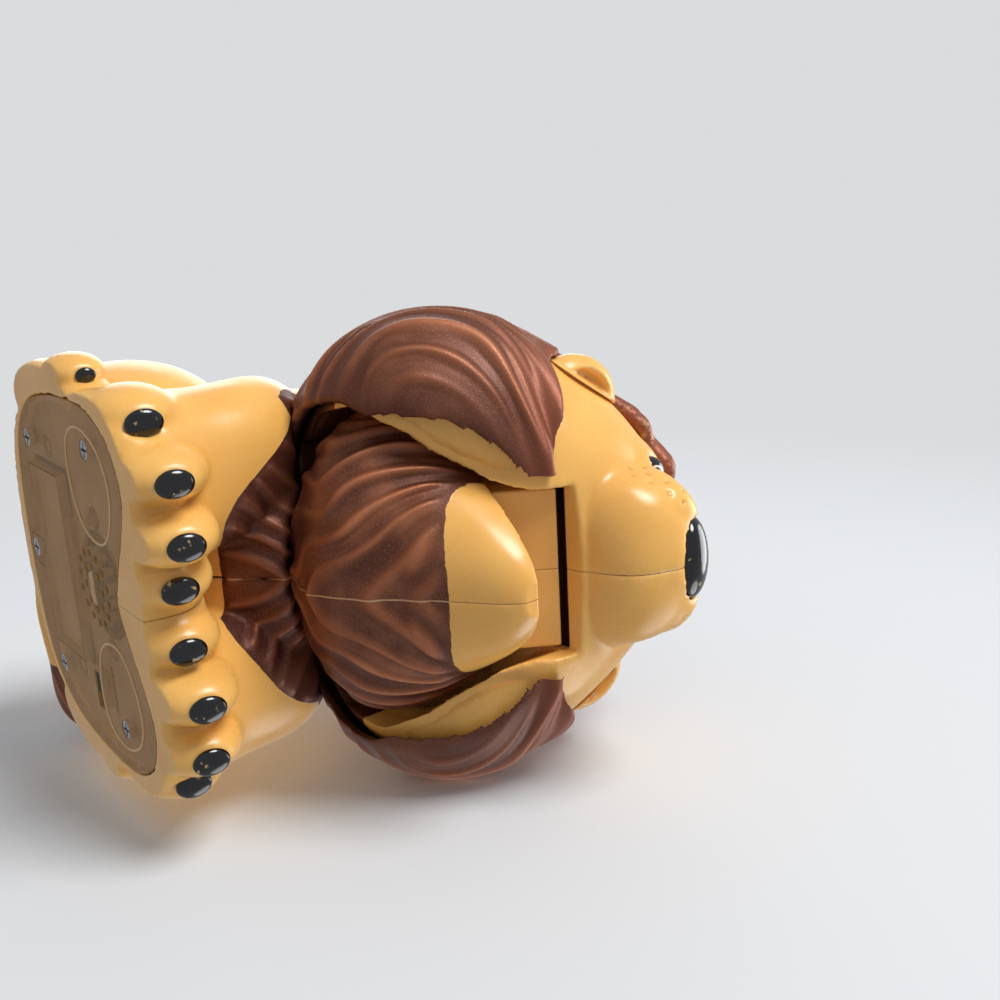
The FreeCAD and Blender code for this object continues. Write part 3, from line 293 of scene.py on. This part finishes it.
def strands(across, along, seed, lock, wander=1.0, stretch=2.5):
    """Carved hair from 0 to 1: strands a lock apart that run along, drift, and start and end softly."""
    flat = np.stack([along / stretch, across, np.full(len(across), 7.3 * seed)], axis=1)
    across = across + wander * (2.6 * noise(flat, 17.0, seed) + 1.1 * noise(flat, 7.0, seed + 1))
    flat[:, 1] = across
    swell = 0.5 + 0.5 * noise(flat, 11.0, seed + 2)
    broad = ridges(across / (lock * 1.9) + 0.15, 0.9)
    main = ridges(across / lock, 2.2) * (0.35 + 0.65 * smooth(0.15, 0.6, swell))
    between = ridges(across / lock + 0.45 + 0.2 * noise(flat, 15.0, seed + 3), 3.0)
    between *= smooth(0.0, 0.6, noise(flat, 8.0, seed + 4))
    fine = ridges(across / (lock * 0.27), 1.0) * smooth(-0.1, 0.5, noise(flat, 6.0, seed + 5))
    return 0.2 * broad + 0.66 * main + 0.38 * between + 0.08 * fine


def head_place(points):
    """Sideways, forward and up from the middle of the skull."""
    return points[:, 0], HEAD_Y - points[:, 1], points[:, 2] - HEAD_Z


def edge_distance(forward, up, line):
    """Distance from each point to a line of points, seen from the side."""
    best = np.full(len(forward), 1e9)
    for (f0, u0), (f1, u1) in zip(line[:-1], line[1:]):
        length = (f1 - f0) ** 2 + (u1 - u0) ** 2
        t = np.clip(((forward - f0) * (f1 - f0) + (up - u0) * (u1 - u0)) / length, 0.0, 1.0)
        best = np.minimum(best, np.hypot(forward - f0 - t * (f1 - f0), up - u0 - t * (u1 - u0)))
    return best


def body_of_node(node):
    """The name of the body that carries a node."""
    return nodes[node].parent.name.split(":", 1)[1]


def finish_skin(skin, node, points, edges, paint, height):
    """Places the points, stores what the materials read and lets the skin stand for its node."""
    normals = place(skin, points)
    keep(skin, "tone", np.full(len(points), 1.0 if node.startswith("body") else 0.0))
    keep(skin, "paint", paint)
    keep(skin, "height", height)
    keep(skin, "bend", hollows(points, normals, edges))
    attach(skin, body_of_node(node))
    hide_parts(node)


def mane_skin(node):
    """One side of the mane, with long locks that sweep back from the face in arches."""
    skin, points, edges = remeshed(node, MANE_GRID)
    points = relaxed(points, edges, 3)
    x, forward, up = head_place(points)
    near_rim = edge_distance(forward, up, LOWER_RIM)
    points = softened(points, edges, 40, 1.0 - smooth(1.5, 4.5, near_rim))
    near_corner = np.hypot(forward - RIM_CORNER[0], up - RIM_CORNER[1])
    points = softened(points, edges, 60, 1.0 - smooth(3.0, 8.0, near_corner))
    normals = place(skin, points)
    x, forward, up = head_place(points)
    outward = facing(normals, points - np.array([0.0, HEAD_Y + MANE_BEHIND, HEAD_Z]))
    outer = smooth(0.25, 0.7, outward)
    for _ in range(5):
        outer = neighbour_mean(outer, edges)
    inner = smooth(-0.1, -0.5, outward)

    arc = MANE_RADIUS * np.arctan2(up + 2.0, np.abs(x))
    reach = np.hypot(forward - MANE_CURL[0], arc - MANE_CURL[1])
    turn = np.arctan2(arc - MANE_CURL[1], forward - MANE_CURL[0])
    across = reach + MANE_CURL_RISE * turn
    hair = strands(across, turn * 45.0, 3, MANE_LOCK)

    near_face = edge_distance(forward, up, FACE_EDGE)
    near_rim = edge_distance(forward, up, LOWER_RIM)
    calm = (0.2 + 0.8 * smooth(0.5, 9.0, near_face)) * (0.3 + 0.7 * smooth(0.5, 5.0, near_rim))
    crown = smooth(22.0, 36.0, up) * smooth(-14.0, 2.0, forward)
    swell = MANE_SWELL[node] * smooth(4.0, 16.0, near_face) * (1.0 - crown) + CROWN_SWELL * crown
    lift = outer * (MANE_RELIEF * hair * calm - MANE_SINK + swell) - MANE_INNER * inner
    points = points + normals * lift[:, None]
    tips = (1.0 - smooth(0.0, 11.0, near_face)) * ridges(across / TIP_PITCH + 0.2, 0.7)
    points[:, 1] -= tips * TIP_REACH
    points = softened(points, edges, 3, 1.0 - smooth(1.0, 7.0, near_face))
    height = hair * outer * (0.35 + 0.65 * calm)
    finish_skin(skin, node, closed_seam(points), edges, near_face, height)


def jaw_skin(node):
    """One side of the jaw: the yellow chin and panel, and the beard that fans out from the throat."""
    skin, points, edges = remeshed(node, JAW_GRID)
    points = relaxed(points, edges, 3)
    x, forward, up = head_place(points)
    rise = (forward - HINGE_FORWARD) * math.tan(math.radians(DECK_SLOPE))
    deck = HINGE_UP + rise - DECK_DROP
    chin_edge = CHIN_FRONT - CHIN_CURVE * x * x
    points = softened(points, edges, 5, smooth(0.2, 1.0, deck - up) * 0.8)
    normals = place(skin, points)
    x, forward, up = head_place(points)
    paint = np.minimum(chin_edge - forward, (deck + 0.1 - up) * 2.0)

    fan = np.arctan2(np.abs(x), THROAT_UP - up) * FAN_WIDTH
    along = forward + 0.45 * np.abs(x)
    bow = fan - 0.30 * along + 2.2 * np.sin(along / 6.5 + 0.4) * smooth(1.0, 9.0, fan)
    hair = strands(bow + 2.0, along, 17, BEARD_LOCK, 1.5, 1.35)

    inside = np.stack([x, forward - 3.0, up + 22.0], axis=1)
    outward = facing(normals * np.array([1.0, -1.0, 1.0]), inside)
    outer = smooth(0.1, 0.6, outward) * smooth(0.3, 2.5, deck - up)
    carved = outer * smooth(0.3, 4.0, paint)
    points = points + normals * (carved * (BEARD_RELIEF * hair - BEARD_SINK))[:, None]
    finish_skin(skin, node, closed_seam(points), edges, paint, hair * carved)


def head_skin(node):
    """One side of the head, with soft roots of muzzle and ear, an eyelid and small pits on the muzzle."""
    skin, points, edges = remeshed(node, HEAD_GRID)
    points = relaxed(points, edges, 3)
    x, forward, up = head_place(points)
    wide = np.abs(x)
    side = math.copysign(1.0, x.mean())
    root = smooth(6.0, 12.0, up) * smooth(8.0, 14.0, forward) * smooth(40.0, 33.0, forward)
    ear = smooth(26.0, 31.0, wide) * smooth(4.0, 8.0, up) * smooth(17.0, 13.0, forward)
    front = smooth(30.0, 36.0, forward)
    points = softened(points, edges, 26, np.clip((root + front * 0.5) * (1.0 - ear), 0.0, 1.0))
    near_cut = edge_distance(forward, up - RIM_CUT_UP, LOWER_RIM)
    points = softened(points, edges, 8, np.maximum(1.0 - smooth(1.0, 3.0, near_cut), 0.2))

    gap = [(value - EAR[k]) / EAR_RADII[k] for k, value in enumerate((wide, forward, up))]
    part = smooth(1.6, 1.05, gap[0] ** 2 + gap[1] ** 2 + gap[2] ** 2)[:, None]
    ear_root = np.array([
        side * (EAR[0] + EAR_ROOT[0]), HEAD_Y - EAR[1] + EAR_ROOT[1], HEAD_Z + EAR[2] + EAR_ROOT[2],
    ])
    shift = np.array([side * EAR_SHIFT[0], EAR_SHIFT[1], EAR_SHIFT[2]])
    points = points + part * ((points - ear_root) * EAR_GROWTH + shift)

    near_eye = np.hypot(wide - EYE_SIDE, up - EYE_UP)
    lid = LID_SWELL * (1.0 - smooth(4.0, 10.0, near_eye)) * smooth(12.0, 18.0, forward)
    points = points + place(skin, points) * lid[:, None]
    normals = place(skin, points)
    pits = np.zeros(len(points))
    for pit_side, pit_forward, pit_up, radius in PITS:
        away = np.sqrt((wide - pit_side) ** 2 + (forward - pit_forward) ** 2 + (up - pit_up) ** 2)
        pits = np.maximum(pits, np.clip(1.0 - away / radius, 0.0, 1.0))
    covered = smooth(12.0, 7.0, near_cut) * smooth(24.0, 19.0, forward)
    covered *= smooth(23.0, 28.0, wide)
    points = points - normals * (pits * PIT_DEPTH + covered * COVERED_SINK)[:, None]
    # painted shade: the rear and lower head is given the brown mane paint where it lies in shade
    paint = np.minimum(THROAT_SHADE_PAINT[0] - forward, THROAT_SHADE_PAINT[1] - up)
    finish_skin(skin, node, closed_seam(points), edges, paint, pits)


def chest_line(x, y):
    """Height of the edge between the painted chest mane and the plain legs and back."""
    front = CHEST_LOW + CHEST_CURVE * np.maximum(np.abs(x) - CHEST_FLAT, 0.0) ** 2
    return np.minimum(front, CHEST_HIGH) + np.maximum(y - BACK_START, 0.0) * BACK_CLIMB


def body_skin(node):
    """One side of the body, with the mane on chest and shoulders and soft creases between the toes."""
    skin, points, edges = remeshed(node, BODY_GRID)
    points = relaxed(points, edges, 3)
    x, y, z = points.T
    wide = np.abs(x)
    low = smooth(30.0, 20.0, z) * smooth(-4.0, -14.0, y)
    points = softened(points, edges, 9, np.clip(0.35 + low, 0.0, 1.0) * smooth(0.0, 1.2, z))
    points = softened(points, edges, 14, smooth(18.0, 26.0, z) * smooth(70.0, 60.0, z))
    normals = place(skin, points)
    x, y, z = points.T
    wave = WAVE_HEIGHT * np.sin(np.arctan2(x, -(y - WAVE_MIDDLE)) * WAVE_COUNT)
    paint = z - chest_line(x, y) + wave * smooth(6.0, 14.0, wide)
    outward = facing(normals, np.stack([x, y - CHEST_MIDDLE, np.zeros(len(x))], axis=1))
    turn = np.arctan2(wide, -(y - TURN_MIDDLE)) * TURN_WIDTH
    across = turn + 0.35 * z + 1.6 * np.sin(z / 6.0)
    hair = strands(across, z * 0.9, 29, CHEST_LOCK, 1.5, 1.7)
    carved = smooth(0.1, 0.5, outward) * smooth(0.2, 3.0, paint)
    points = points + normals * (carved * (CHEST_RELIEF * hair - CHEST_SINK))[:, None]
    finish_skin(skin, node, closed_seam(points), edges, paint, hair * carved)


def tail_skin(node):
    """The tail with its painted tuft."""
    skin, points, edges = remeshed(node, TAIL_GRID)
    points = relaxed(points, edges, 4)
    normals = place(skin, points)
    x, y, z = points.T
    paint = x - TUFT_START
    turn = np.arctan2(z - TUFT[2], (y - TUFT[1]) * 0.7 + (x - TUFT[0]) * 0.7)
    hair = strands(turn * TUFT_WIDTH, x, 41, TUFT_LOCK, 0.5)
    carved = smooth(0.0, 3.0, paint)
    points = points + normals * (carved * (TUFT_RELIEF * hair - TUFT_SINK))[:, None]
    finish_skin(skin, node, points, edges, paint, hair * carved)


for side_name in ("left", "right"):
    body_skin("body_" + side_name)
    head_skin("head_" + side_name)
    mane_skin("mane_" + side_name)
    jaw_skin("jaw_" + side_name)
tail_skin("tail")


# Materials

def linear(red, green, blue):
    """A colour given as it looks, 0 to 255, as the shader wants it."""
    out = []
    for c in (red, green, blue):
        c /= 255.0
        out.append(c / 12.92 if c <= 0.04045 else ((c + 0.055) / 1.055) ** 2.4)
    return (*out, 1.0)


YELLOW = linear(242, 184, 96)
# deeper yellow: cloudy tone, and painted shade in creases
YELLOW_DEEP = linear(212, 144, 58)
# painted highlight on yellow edges
YELLOW_EDGE_HIGHLIGHT = linear(250, 204, 124)
YELLOW_SEAM = linear(150, 92, 40)
PIT_BROWN = linear(170, 118, 52)
BROWN = linear(148, 82, 48)
# painted shade in the mane's grooves and creases
BROWN_SHADE = linear(90, 42, 23)
BROWN_PALE = linear(150, 92, 62)
MAROON = linear(84, 36, 26)
RED_BROWN = linear(150, 82, 54)
# copper: airbrushed patches, and painted highlight on ridge tops
COPPER_AND_HIGHLIGHT = linear(212, 138, 96)
# painted glints of the metal flakes
FLAKE_GLINT = linear(236, 196, 172)
CREAM = linear(226, 190, 140)
BLACK = linear(14, 14, 18)
WORN_GOLD = linear(176, 150, 96)
PUPIL = linear(10, 8, 8)
IRIS = linear(52, 28, 14)
EYE_RIM = linear(20, 14, 12)
EYE_WHITE = linear(232, 226, 214)
STAGE = linear(214, 216, 218)
BACKGROUND = linear(218, 220, 222)
SKY = (0.42, 0.43, 0.45, 1.0)

FLAKE = 0.26  # size of the paint's metal flakes
PUPIL_EDGE = (1.5, 1.7)  # radii in the eye, each from its inner to its outer limit
RING_INNER = (2.05, 2.2)
RING_OUTER = (2.65, 2.5)
IRIS_EDGE = (2.8, 3.0)


class Paint:
    """A material and short ways to add nodes to it."""

    def __init__(self, name, roughness=0.4, metallic=0.0, coat=0.0):
        self.material = bpy.data.materials.new(name)
        self.material.use_nodes = True
        self.tree = self.material.node_tree
        self.shader = self.tree.nodes["Principled BSDF"]
        self.shader.inputs["Roughness"].default_value = roughness
        self.shader.inputs["Metallic"].default_value = metallic
        self.shader.inputs["Coat Weight"].default_value = coat
        self.coordinates = self.tree.nodes.new("ShaderNodeTexCoord").outputs["Object"]

    def link(self, value, socket):
        """Joins a value or another node's output to a socket."""
        if hasattr(value, "is_output"):
            self.tree.links.new(value, socket)
        else:
            socket.default_value = value

    def noise(self, size, detail=3.0):
        """Noise whose features are about size millimetres wide."""
        mapping = self.tree.nodes.new("ShaderNodeMapping")
        mapping.inputs["Scale"].default_value = [1.0 / (size * MM)] * 3
        self.tree.links.new(self.coordinates, mapping.inputs["Vector"])
        node = self.tree.nodes.new("ShaderNodeTexNoise")
        node.inputs["Scale"].default_value = 1.0
        node.inputs["Detail"].default_value = detail
        self.tree.links.new(mapping.outputs["Vector"], node.inputs["Vector"])
        return node.outputs["Fac"]

    def stored(self, name):
        """A number that the skin stores at each point."""
        node = self.tree.nodes.new("ShaderNodeAttribute")
        node.attribute_name = name
        return node.outputs["Fac"]

    def axis(self, index):
        """One coordinate in millimetres."""
        node = self.tree.nodes.new("ShaderNodeSeparateXYZ")
        self.tree.links.new(self.coordinates, node.inputs[0])
        return self.math("MULTIPLY", node.outputs[index], 1.0 / MM)

    def math(self, operation, *values):
        """One step of arithmetic."""
        node = self.tree.nodes.new("ShaderNodeMath")
        node.operation = operation
        for value, socket in zip(values, node.inputs):
            self.link(value, socket)
        return node.outputs[0]

    def step(self, low, high, value, start=0.0, end=1.0):
        """A soft step from start to end as value goes from low to high."""
        node = self.tree.nodes.new("ShaderNodeMapRange")
        node.interpolation_type = "SMOOTHSTEP"
        self.link(value, node.inputs["Value"])
        node.inputs["From Min"].default_value = low
        node.inputs["From Max"].default_value = high
        node.inputs["To Min"].default_value = start
        node.inputs["To Max"].default_value = end
        return node.outputs["Result"]

    def mix(self, share, first, second):
        """Two colours mixed."""
        node = self.tree.nodes.new("ShaderNodeMix")
        node.data_type = "RGBA"
        self.link(share, node.inputs["Factor"])
        self.link(first, node.inputs["A"])
        self.link(second, node.inputs["B"])
        return next(s for s in node.outputs if s.type == "RGBA")

    def bump(self, height, distance):
        """Fine relief of the surface, in millimetres."""
        node = self.tree.nodes.new("ShaderNodeBump")
        node.inputs["Distance"].default_value = distance * MM
        self.tree.links.new(height, node.inputs["Height"])
        self.tree.links.new(node.outputs["Normal"], self.shader.inputs["Normal"])

    def colour(self, value):
        """Sets the surface's colour."""
        self.link(value, self.shader.inputs["Base Color"])

    def roughness(self, value):
        """Sets how rough the surface is."""
        self.link(value, self.shader.inputs["Roughness"])

    def metallic(self, value):
        """Sets how metallic the surface is."""
        self.link(value, self.shader.inputs["Metallic"])

    def worn_seam(self):
        """1 where the paint is worn off along the seam between two halves."""
        seam = self.math("ABSOLUTE", self.axis(0))
        patches = self.step(0.3, 0.42, self.noise(7.0))
        return self.math("MULTIPLY", self.step(0.26, 0.14, seam), patches)


def plastic_colour(p):
    """The yellow plastic's colour with cloudy tone, painted shade deeper in creases and a painted
    highlight paler on edges.
    """
    cloudy = p.mix(p.step(0.35, 0.7, p.noise(22.0)), YELLOW, YELLOW_DEEP)
    base = p.mix(0.28, YELLOW, cloudy)
    bend = p.stored("bend")
    # painted shade: deeper yellow in creases
    base = p.mix(p.step(-0.05, -0.6, bend, 0.0, 0.55), base, YELLOW_DEEP)
    # painted highlight: paler yellow on edges
    return p.mix(p.step(0.1, 0.8, bend, 0.0, 0.4), base, YELLOW_EDGE_HIGHLIGHT)


def plastic_and_paint():
    """Yellow plastic with the mane's metallic paint where the skin's paint number is above zero, with
    painted shade in grooves and creases and painted highlights on edges, ridge tops and flakes.
    """
    p = Paint("plastic_and_paint")
    ragged = p.math("MULTIPLY", p.math("SUBTRACT", p.noise(2.4), 0.5), 0.7)
    painted = p.step(-0.12, 0.12, p.math("ADD", p.stored("paint"), ragged))
    bend = p.stored("bend")
    height = p.stored("height")
    flake = p.noise(FLAKE, 1.0)

    yellow = plastic_colour(p)
    pit = p.math("MULTIPLY", p.step(0.3, 0.9, height, 0.0, 0.55), p.math("SUBTRACT", 1.0, painted))
    yellow = p.mix(pit, yellow, PIT_BROWN)
    seam = p.math("ABSOLUTE", p.axis(0))
    yellow = p.mix(p.step(0.16, 0.08, seam, 0.0, 0.8), yellow, YELLOW_SEAM)

    # painted shade darker in the grooves between strands, painted highlight copper on their tops
    brown = p.mix(p.step(0.0, 0.75, height), BROWN_SHADE, BROWN)
    brown = p.mix(p.step(0.45, 1.0, height, 0.0, 0.6), brown, COPPER_AND_HIGHLIGHT)
    # painted shade: darker in creases
    brown = p.mix(p.step(-0.05, -0.5, bend, 0.0, 0.6), brown, BROWN_SHADE)
    # copper airbrush patches, the paint's own tone
    brown = p.mix(p.step(0.45, 0.75, p.noise(16.0), 0.0, 0.25), brown, COPPER_AND_HIGHLIGHT)
    brown = p.mix(p.math("MULTIPLY", p.stored("tone"), 0.6), brown, MAROON)
    # painted glints of the metal flakes
    brown = p.mix(p.step(0.5, 0.7, flake, 0.0, 0.16), brown, FLAKE_GLINT)
    brown = p.mix(p.math("MULTIPLY", p.worn_seam(), 0.6), brown, CREAM)
    p.colour(p.mix(painted, yellow, brown))
    p.metallic(p.math("MULTIPLY", painted, p.step(0.4, 0.62, flake, 0.25, 0.75)))

    grain = p.noise(1.4, 4.0)
    plain = p.step(0.3, 0.7, p.noise(9.0), 0.24, 0.34)
    metal = p.math("ADD", p.step(0.35, 0.65, flake, 0.32, 0.5), p.math("MULTIPLY", grain, 0.08))
    p.roughness(p.math("MULTIPLY_ADD", painted, p.math("SUBTRACT", metal, plain), plain))
    flakes = p.math("MULTIPLY", painted, flake)
    p.bump(p.math("MULTIPLY_ADD", flakes, 0.8, p.math("MULTIPLY", grain, 0.25)), 0.09)
    p.shader.inputs["Subsurface Weight"].default_value = 0.06
    p.shader.inputs["Subsurface Radius"].default_value = (1.0, 0.5, 0.2)
    p.shader.inputs["Subsurface Scale"].default_value = 0.002
    return p.material


def mane_paint():
    """The mane's metallic paint, with painted shade in grooves and creases, painted highlights on ridge
    tops and flakes, and the plastic showing along worn rims and the seam.
    """
    p = Paint("mane_paint")
    bend = p.stored("bend")
    height = p.stored("height")
    flake = p.noise(FLAKE, 1.0)
    # painted shade darker in the grooves between strands, painted highlight copper on their tops
    brown = p.mix(p.step(0.0, 0.8, height), BROWN_SHADE, BROWN)
    brown = p.mix(p.step(0.5, 1.0, height, 0.0, 0.45), brown, COPPER_AND_HIGHLIGHT)
    # painted shade: darker in creases
    brown = p.mix(p.step(-0.05, -0.5, bend, 0.0, 0.6), brown, BROWN_SHADE)
    brown = p.mix(p.step(0.4, 0.75, p.noise(20.0), 0.0, 0.35), brown, BROWN_PALE)
    brown = p.mix(p.step(12.0, 1.0, p.stored("paint"), 0.0, 0.7), brown, RED_BROWN)
    rim = p.math("MULTIPLY", p.step(0.97, 1.0, bend), p.step(0.55, 0.7, p.noise(5.0), 0.0, 0.6))
    # painted glints of the metal flakes
    brown = p.mix(p.step(0.5, 0.7, flake, 0.0, 0.12), brown, FLAKE_GLINT)
    worn = p.math("MULTIPLY", p.math("MAXIMUM", rim, p.worn_seam()), 0.8)
    p.colour(p.mix(worn, brown, CREAM))
    p.metallic(p.step(0.4, 0.62, flake, 0.2, 0.65))
    grain = p.noise(1.4, 4.0)
    metal = p.step(0.35, 0.65, flake, 0.34, 0.5)
    p.roughness(p.math("ADD", metal, p.math("MULTIPLY", grain, 0.08)))
    p.bump(p.math("MULTIPLY_ADD", flake, 0.8, p.math("MULTIPLY", grain, 0.25)), 0.06)
    return p.material


def black_gloss():
    """Black gloss paint with worn flecks that show the plastic."""
    p = Paint("black_gloss", coat=0.4)
    fleck = p.math("MULTIPLY", p.step(0.6, 0.63, p.noise(1.9, 4.0)), p.step(0.53, 0.6, p.noise(4.0)))
    p.colour(p.mix(fleck, BLACK, WORN_GOLD))
    polish = p.step(0.3, 0.7, p.noise(3.0), 0.1, 0.2)
    p.roughness(p.math("ADD", polish, p.math("MULTIPLY", fleck, 0.25)))
    p.bump(p.math("SUBTRACT", p.math("MULTIPLY", p.noise(1.1, 4.0), 0.3), fleck), 0.05)
    return p.material


def moulded(name, colour, deep, roughness, grain=1.0, depth=0.05, metallic=0.0):
    """A moulded or rolled surface with cloudy colour and a fine grain."""
    p = Paint(name, metallic=metallic)
    p.colour(p.mix(p.step(0.3, 0.7, p.noise(14.0), 0.0, 0.6), linear(*colour), linear(*deep)))
    p.roughness(p.step(0.3, 0.7, p.noise(4.0), roughness - 0.06, roughness + 0.08))
    p.bump(p.noise(grain, 4.0), depth)
    return p.material


def eye_paint():
    """Dark eye with a white ring."""
    p = Paint("eye_gloss", roughness=0.1, coat=0.5)
    side = p.math("SUBTRACT", p.math("ABSOLUTE", p.axis(0)), EYE_SIDE)
    high = p.math("SUBTRACT", p.axis(2), HEAD_Z + EYE_UP)
    square = p.math("ADD", p.math("MULTIPLY", side, side), p.math("MULTIPLY", high, high))
    reach = p.math("SQRT", square)
    white = p.math("MULTIPLY", p.step(*RING_INNER, reach), p.step(*RING_OUTER, reach))
    iris = p.mix(p.step(*PUPIL_EDGE, reach), PUPIL, IRIS)
    p.colour(p.mix(white, p.mix(p.step(*IRIS_EDGE, reach), iris, EYE_RIM), EYE_WHITE))
    p.bump(p.noise(0.8), 0.01)
    return p.material


MATERIALS = {
    "skin": plastic_and_paint(),
    "mane_paint": mane_paint(),
    "black_gloss": black_gloss(),
    "eye_gloss": eye_paint(),
}
# Colour, deeper colour and roughness, and where they differ from the usual, grain, its depth and metal
for surface in (
    ("sole_plastic", (205, 160, 104), (188, 142, 86), 0.42, 1.2),
    ("button_red", (176, 38, 30), (140, 26, 22), 0.3, 1.2, 0.04),
    ("inner_white", (222, 220, 210), (200, 198, 186), 0.45),
    ("black_matte", (34, 34, 36), (24, 24, 26), 0.55),
    ("steel", (190, 190, 196), (150, 152, 160), 0.28, 0.6, 0.01, 1.0),
    ("battery_jacket", (60, 84, 120), (44, 66, 100), 0.35),
    ("sole_line", (224, 186, 132), (212, 170, 116), 0.4),
    ("board_green", (34, 96, 56), (26, 78, 44), 0.4),
):
    MATERIALS[surface[0]] = moulded(*surface)


def dress(thing, material):
    """Gives a thing one material all over."""
    thing.data.materials.clear()
    thing.data.materials.append(material)


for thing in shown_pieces():
    if thing.name.endswith("_skin"):
        dress(thing, MATERIALS["mane_paint" if thing.name.startswith("mane") else "skin"])
for part in frame["record"]["subparts"]:
    dress(nodes[part["node"]], MATERIALS.get(part["material_slot"], MATERIALS["skin"]))


# The soles' outlines: thin raised lines on the underside, through corners given as x and y

LINE_RADIUS = 0.35
LINE_HEIGHT = 0.12
SOLE_OUTLINE = [
    (12.0, -14.0), (20.0, -20.5), (30.0, -23.5), (39.0, -18.0),
    (42.5, -6.0), (38.0, 4.0), (26.0, 5.0), (14.0, 0.0),
]


def sole_line(name, side):
    """One sole's outline, on the side given as 1 or -1."""
    curve = bpy.data.curves.new(name, "CURVE")
    curve.dimensions = "3D"
    curve.bevel_depth = LINE_RADIUS * MM
    curve.bevel_resolution = 3
    spline = curve.splines.new("NURBS")
    spline.points.add(len(SOLE_OUTLINE) - 1)
    for point, (x, y) in zip(spline.points, SOLE_OUTLINE):
        point.co = (side * x * MM, y * MM, LINE_HEIGHT * MM, 1.0)
    spline.order_u = 4
    spline.use_cyclic_u = True
    line = bpy.data.objects.new(name, curve)
    scene.collection.objects.link(line)
    dress(line, MATERIALS["sole_line"])
    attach(line, "figure")


sole_line("sole_outline_left", 1.0)
sole_line("sole_outline_right", -1.0)


# Stage, light and camera: places in millimetres, sizes of the stage in metres

FLOOR_SIZE = 1.6
TABLE_SIZE = 0.9
TABLE_PLACE = (61.0, -60.0, 60.0)
FADE_START = 0.2  # of a plane's size
FADE_END = 0.5
LIGHT_AIM = (0.0, -40.0, 60.0)
# Name, place, power in watts and width
LIGHTS = [
    ("key", (-2400.0, -1300.0, 900.0), 70.0, 1300.0),
    ("top", (300.0, -600.0, 2900.0), 42.0, 2200.0),
    ("side", (2500.0, -1100.0, 1100.0), 26.0, 2000.0),
    ("back", (-500.0, 2600.0, 1600.0), 26.0, 2200.0),
]
CAMERA_PLACE = (-100.077, -283.551, -87.302)
CAMERA_TURN = ((0.0502, -0.9566, -0.287), (-0.6149, 0.1968, -0.7637), (0.787, 0.2148, -0.5783))
SENSOR_WIDTH = 36.0
FOCAL_SHARE = 1.2  # focal length over the sensor's width


def stage_paint(name, size):
    """Pale where only the camera looks, from the front, and fading out away from the middle."""
    p = Paint(name)
    tree = p.tree
    mixed = tree.nodes.new("ShaderNodeMixShader")
    clear = tree.nodes.new("ShaderNodeBsdfTransparent")
    pale = tree.nodes.new("ShaderNodeBsdfDiffuse")
    pale.inputs["Color"].default_value = STAGE
    face = tree.nodes.new("ShaderNodeNewGeometry")
    ray = tree.nodes.new("ShaderNodeLightPath")
    reach = tree.nodes.new("ShaderNodeVectorMath")
    reach.operation = "LENGTH"
    tree.links.new(p.coordinates, reach.inputs[0])
    front = p.math("SUBTRACT", 1.0, face.outputs["Backfacing"])
    seen = p.math("MULTIPLY", front, ray.outputs["Is Camera Ray"])
    near = p.step(size * FADE_START, size * FADE_END, reach.outputs["Value"], 1.0, 0.0)
    tree.links.new(p.math("MULTIPLY", seen, near), mixed.inputs[0])
    tree.links.new(clear.outputs[0], mixed.inputs[1])
    tree.links.new(pale.outputs[0], mixed.inputs[2])
    tree.nodes.remove(p.shader)
    tree.links.new(mixed.outputs[0], tree.nodes["Material Output"].inputs["Surface"])
    return p.material


def stage_plane(name, middle, turn, size):
    """A pale plane behind the figure, turned about y."""
    mesh = bpy.data.meshes.new(name)
    half = size / 2.0
    corners = [(-half, -half, 0), (half, -half, 0), (half, half, 0), (-half, half, 0)]
    mesh.from_pydata(corners, [], [(0, 1, 2, 3)])
    mesh.materials.append(stage_paint(name, size))
    plane = bpy.data.objects.new(name, mesh)
    plane.matrix_world = Matrix.Translation(Vector(middle) * MM) @ Matrix.Rotation(turn, 4, "Y")
    scene.collection.objects.link(plane)


def soft_light(name, place, power, size):
    """A large soft lamp that looks at the figure."""
    data = bpy.data.lights.new(name, "AREA")
    data.shape = "DISK"
    data.size = size * MM
    data.energy = power
    lamp = bpy.data.objects.new(name, data)
    lamp.location = Vector(place) * MM
    lamp.rotation_mode = "QUATERNION"
    lamp.rotation_quaternion = (Vector(LIGHT_AIM) - Vector(place)).to_track_quat("-Z", "Y")
    scene.collection.objects.link(lamp)


stage_plane("floor", (0.0, 0.0, 0.0), 0.0, FLOOR_SIZE)
stage_plane("table", TABLE_PLACE, -math.pi / 2.0, TABLE_SIZE)
for light in LIGHTS:
    soft_light(*light)

world = bpy.data.worlds.new("world")
scene.world = world
world.use_nodes = True
world_tree = world.node_tree
ray_kind = world_tree.nodes.new("ShaderNodeLightPath")
sky_colour = world_tree.nodes.new("ShaderNodeMix")
sky_colour.data_type = "RGBA"
sky_colour.inputs["A"].default_value = SKY
sky_colour.inputs["B"].default_value = BACKGROUND
sky_out = next(o for o in sky_colour.outputs if o.type == "RGBA")
world_tree.links.new(ray_kind.outputs["Is Camera Ray"], sky_colour.inputs["Factor"])
world_tree.links.new(sky_out, world_tree.nodes["Background"].inputs["Color"])

camera_data = bpy.data.cameras.new("camera")
camera_data.sensor_width = SENSOR_WIDTH
camera_data.lens = SENSOR_WIDTH * FOCAL_SHARE
camera_data.clip_start = 0.01
camera_data.clip_end = 50.0
camera = bpy.data.objects.new("camera", camera_data)
camera.matrix_world = Matrix.Translation(Vector(CAMERA_PLACE) * MM) @ Matrix(CAMERA_TURN).to_4x4()
scene.collection.objects.link(camera)
scene.camera = camera
scene.view_settings.view_transform = "Standard"
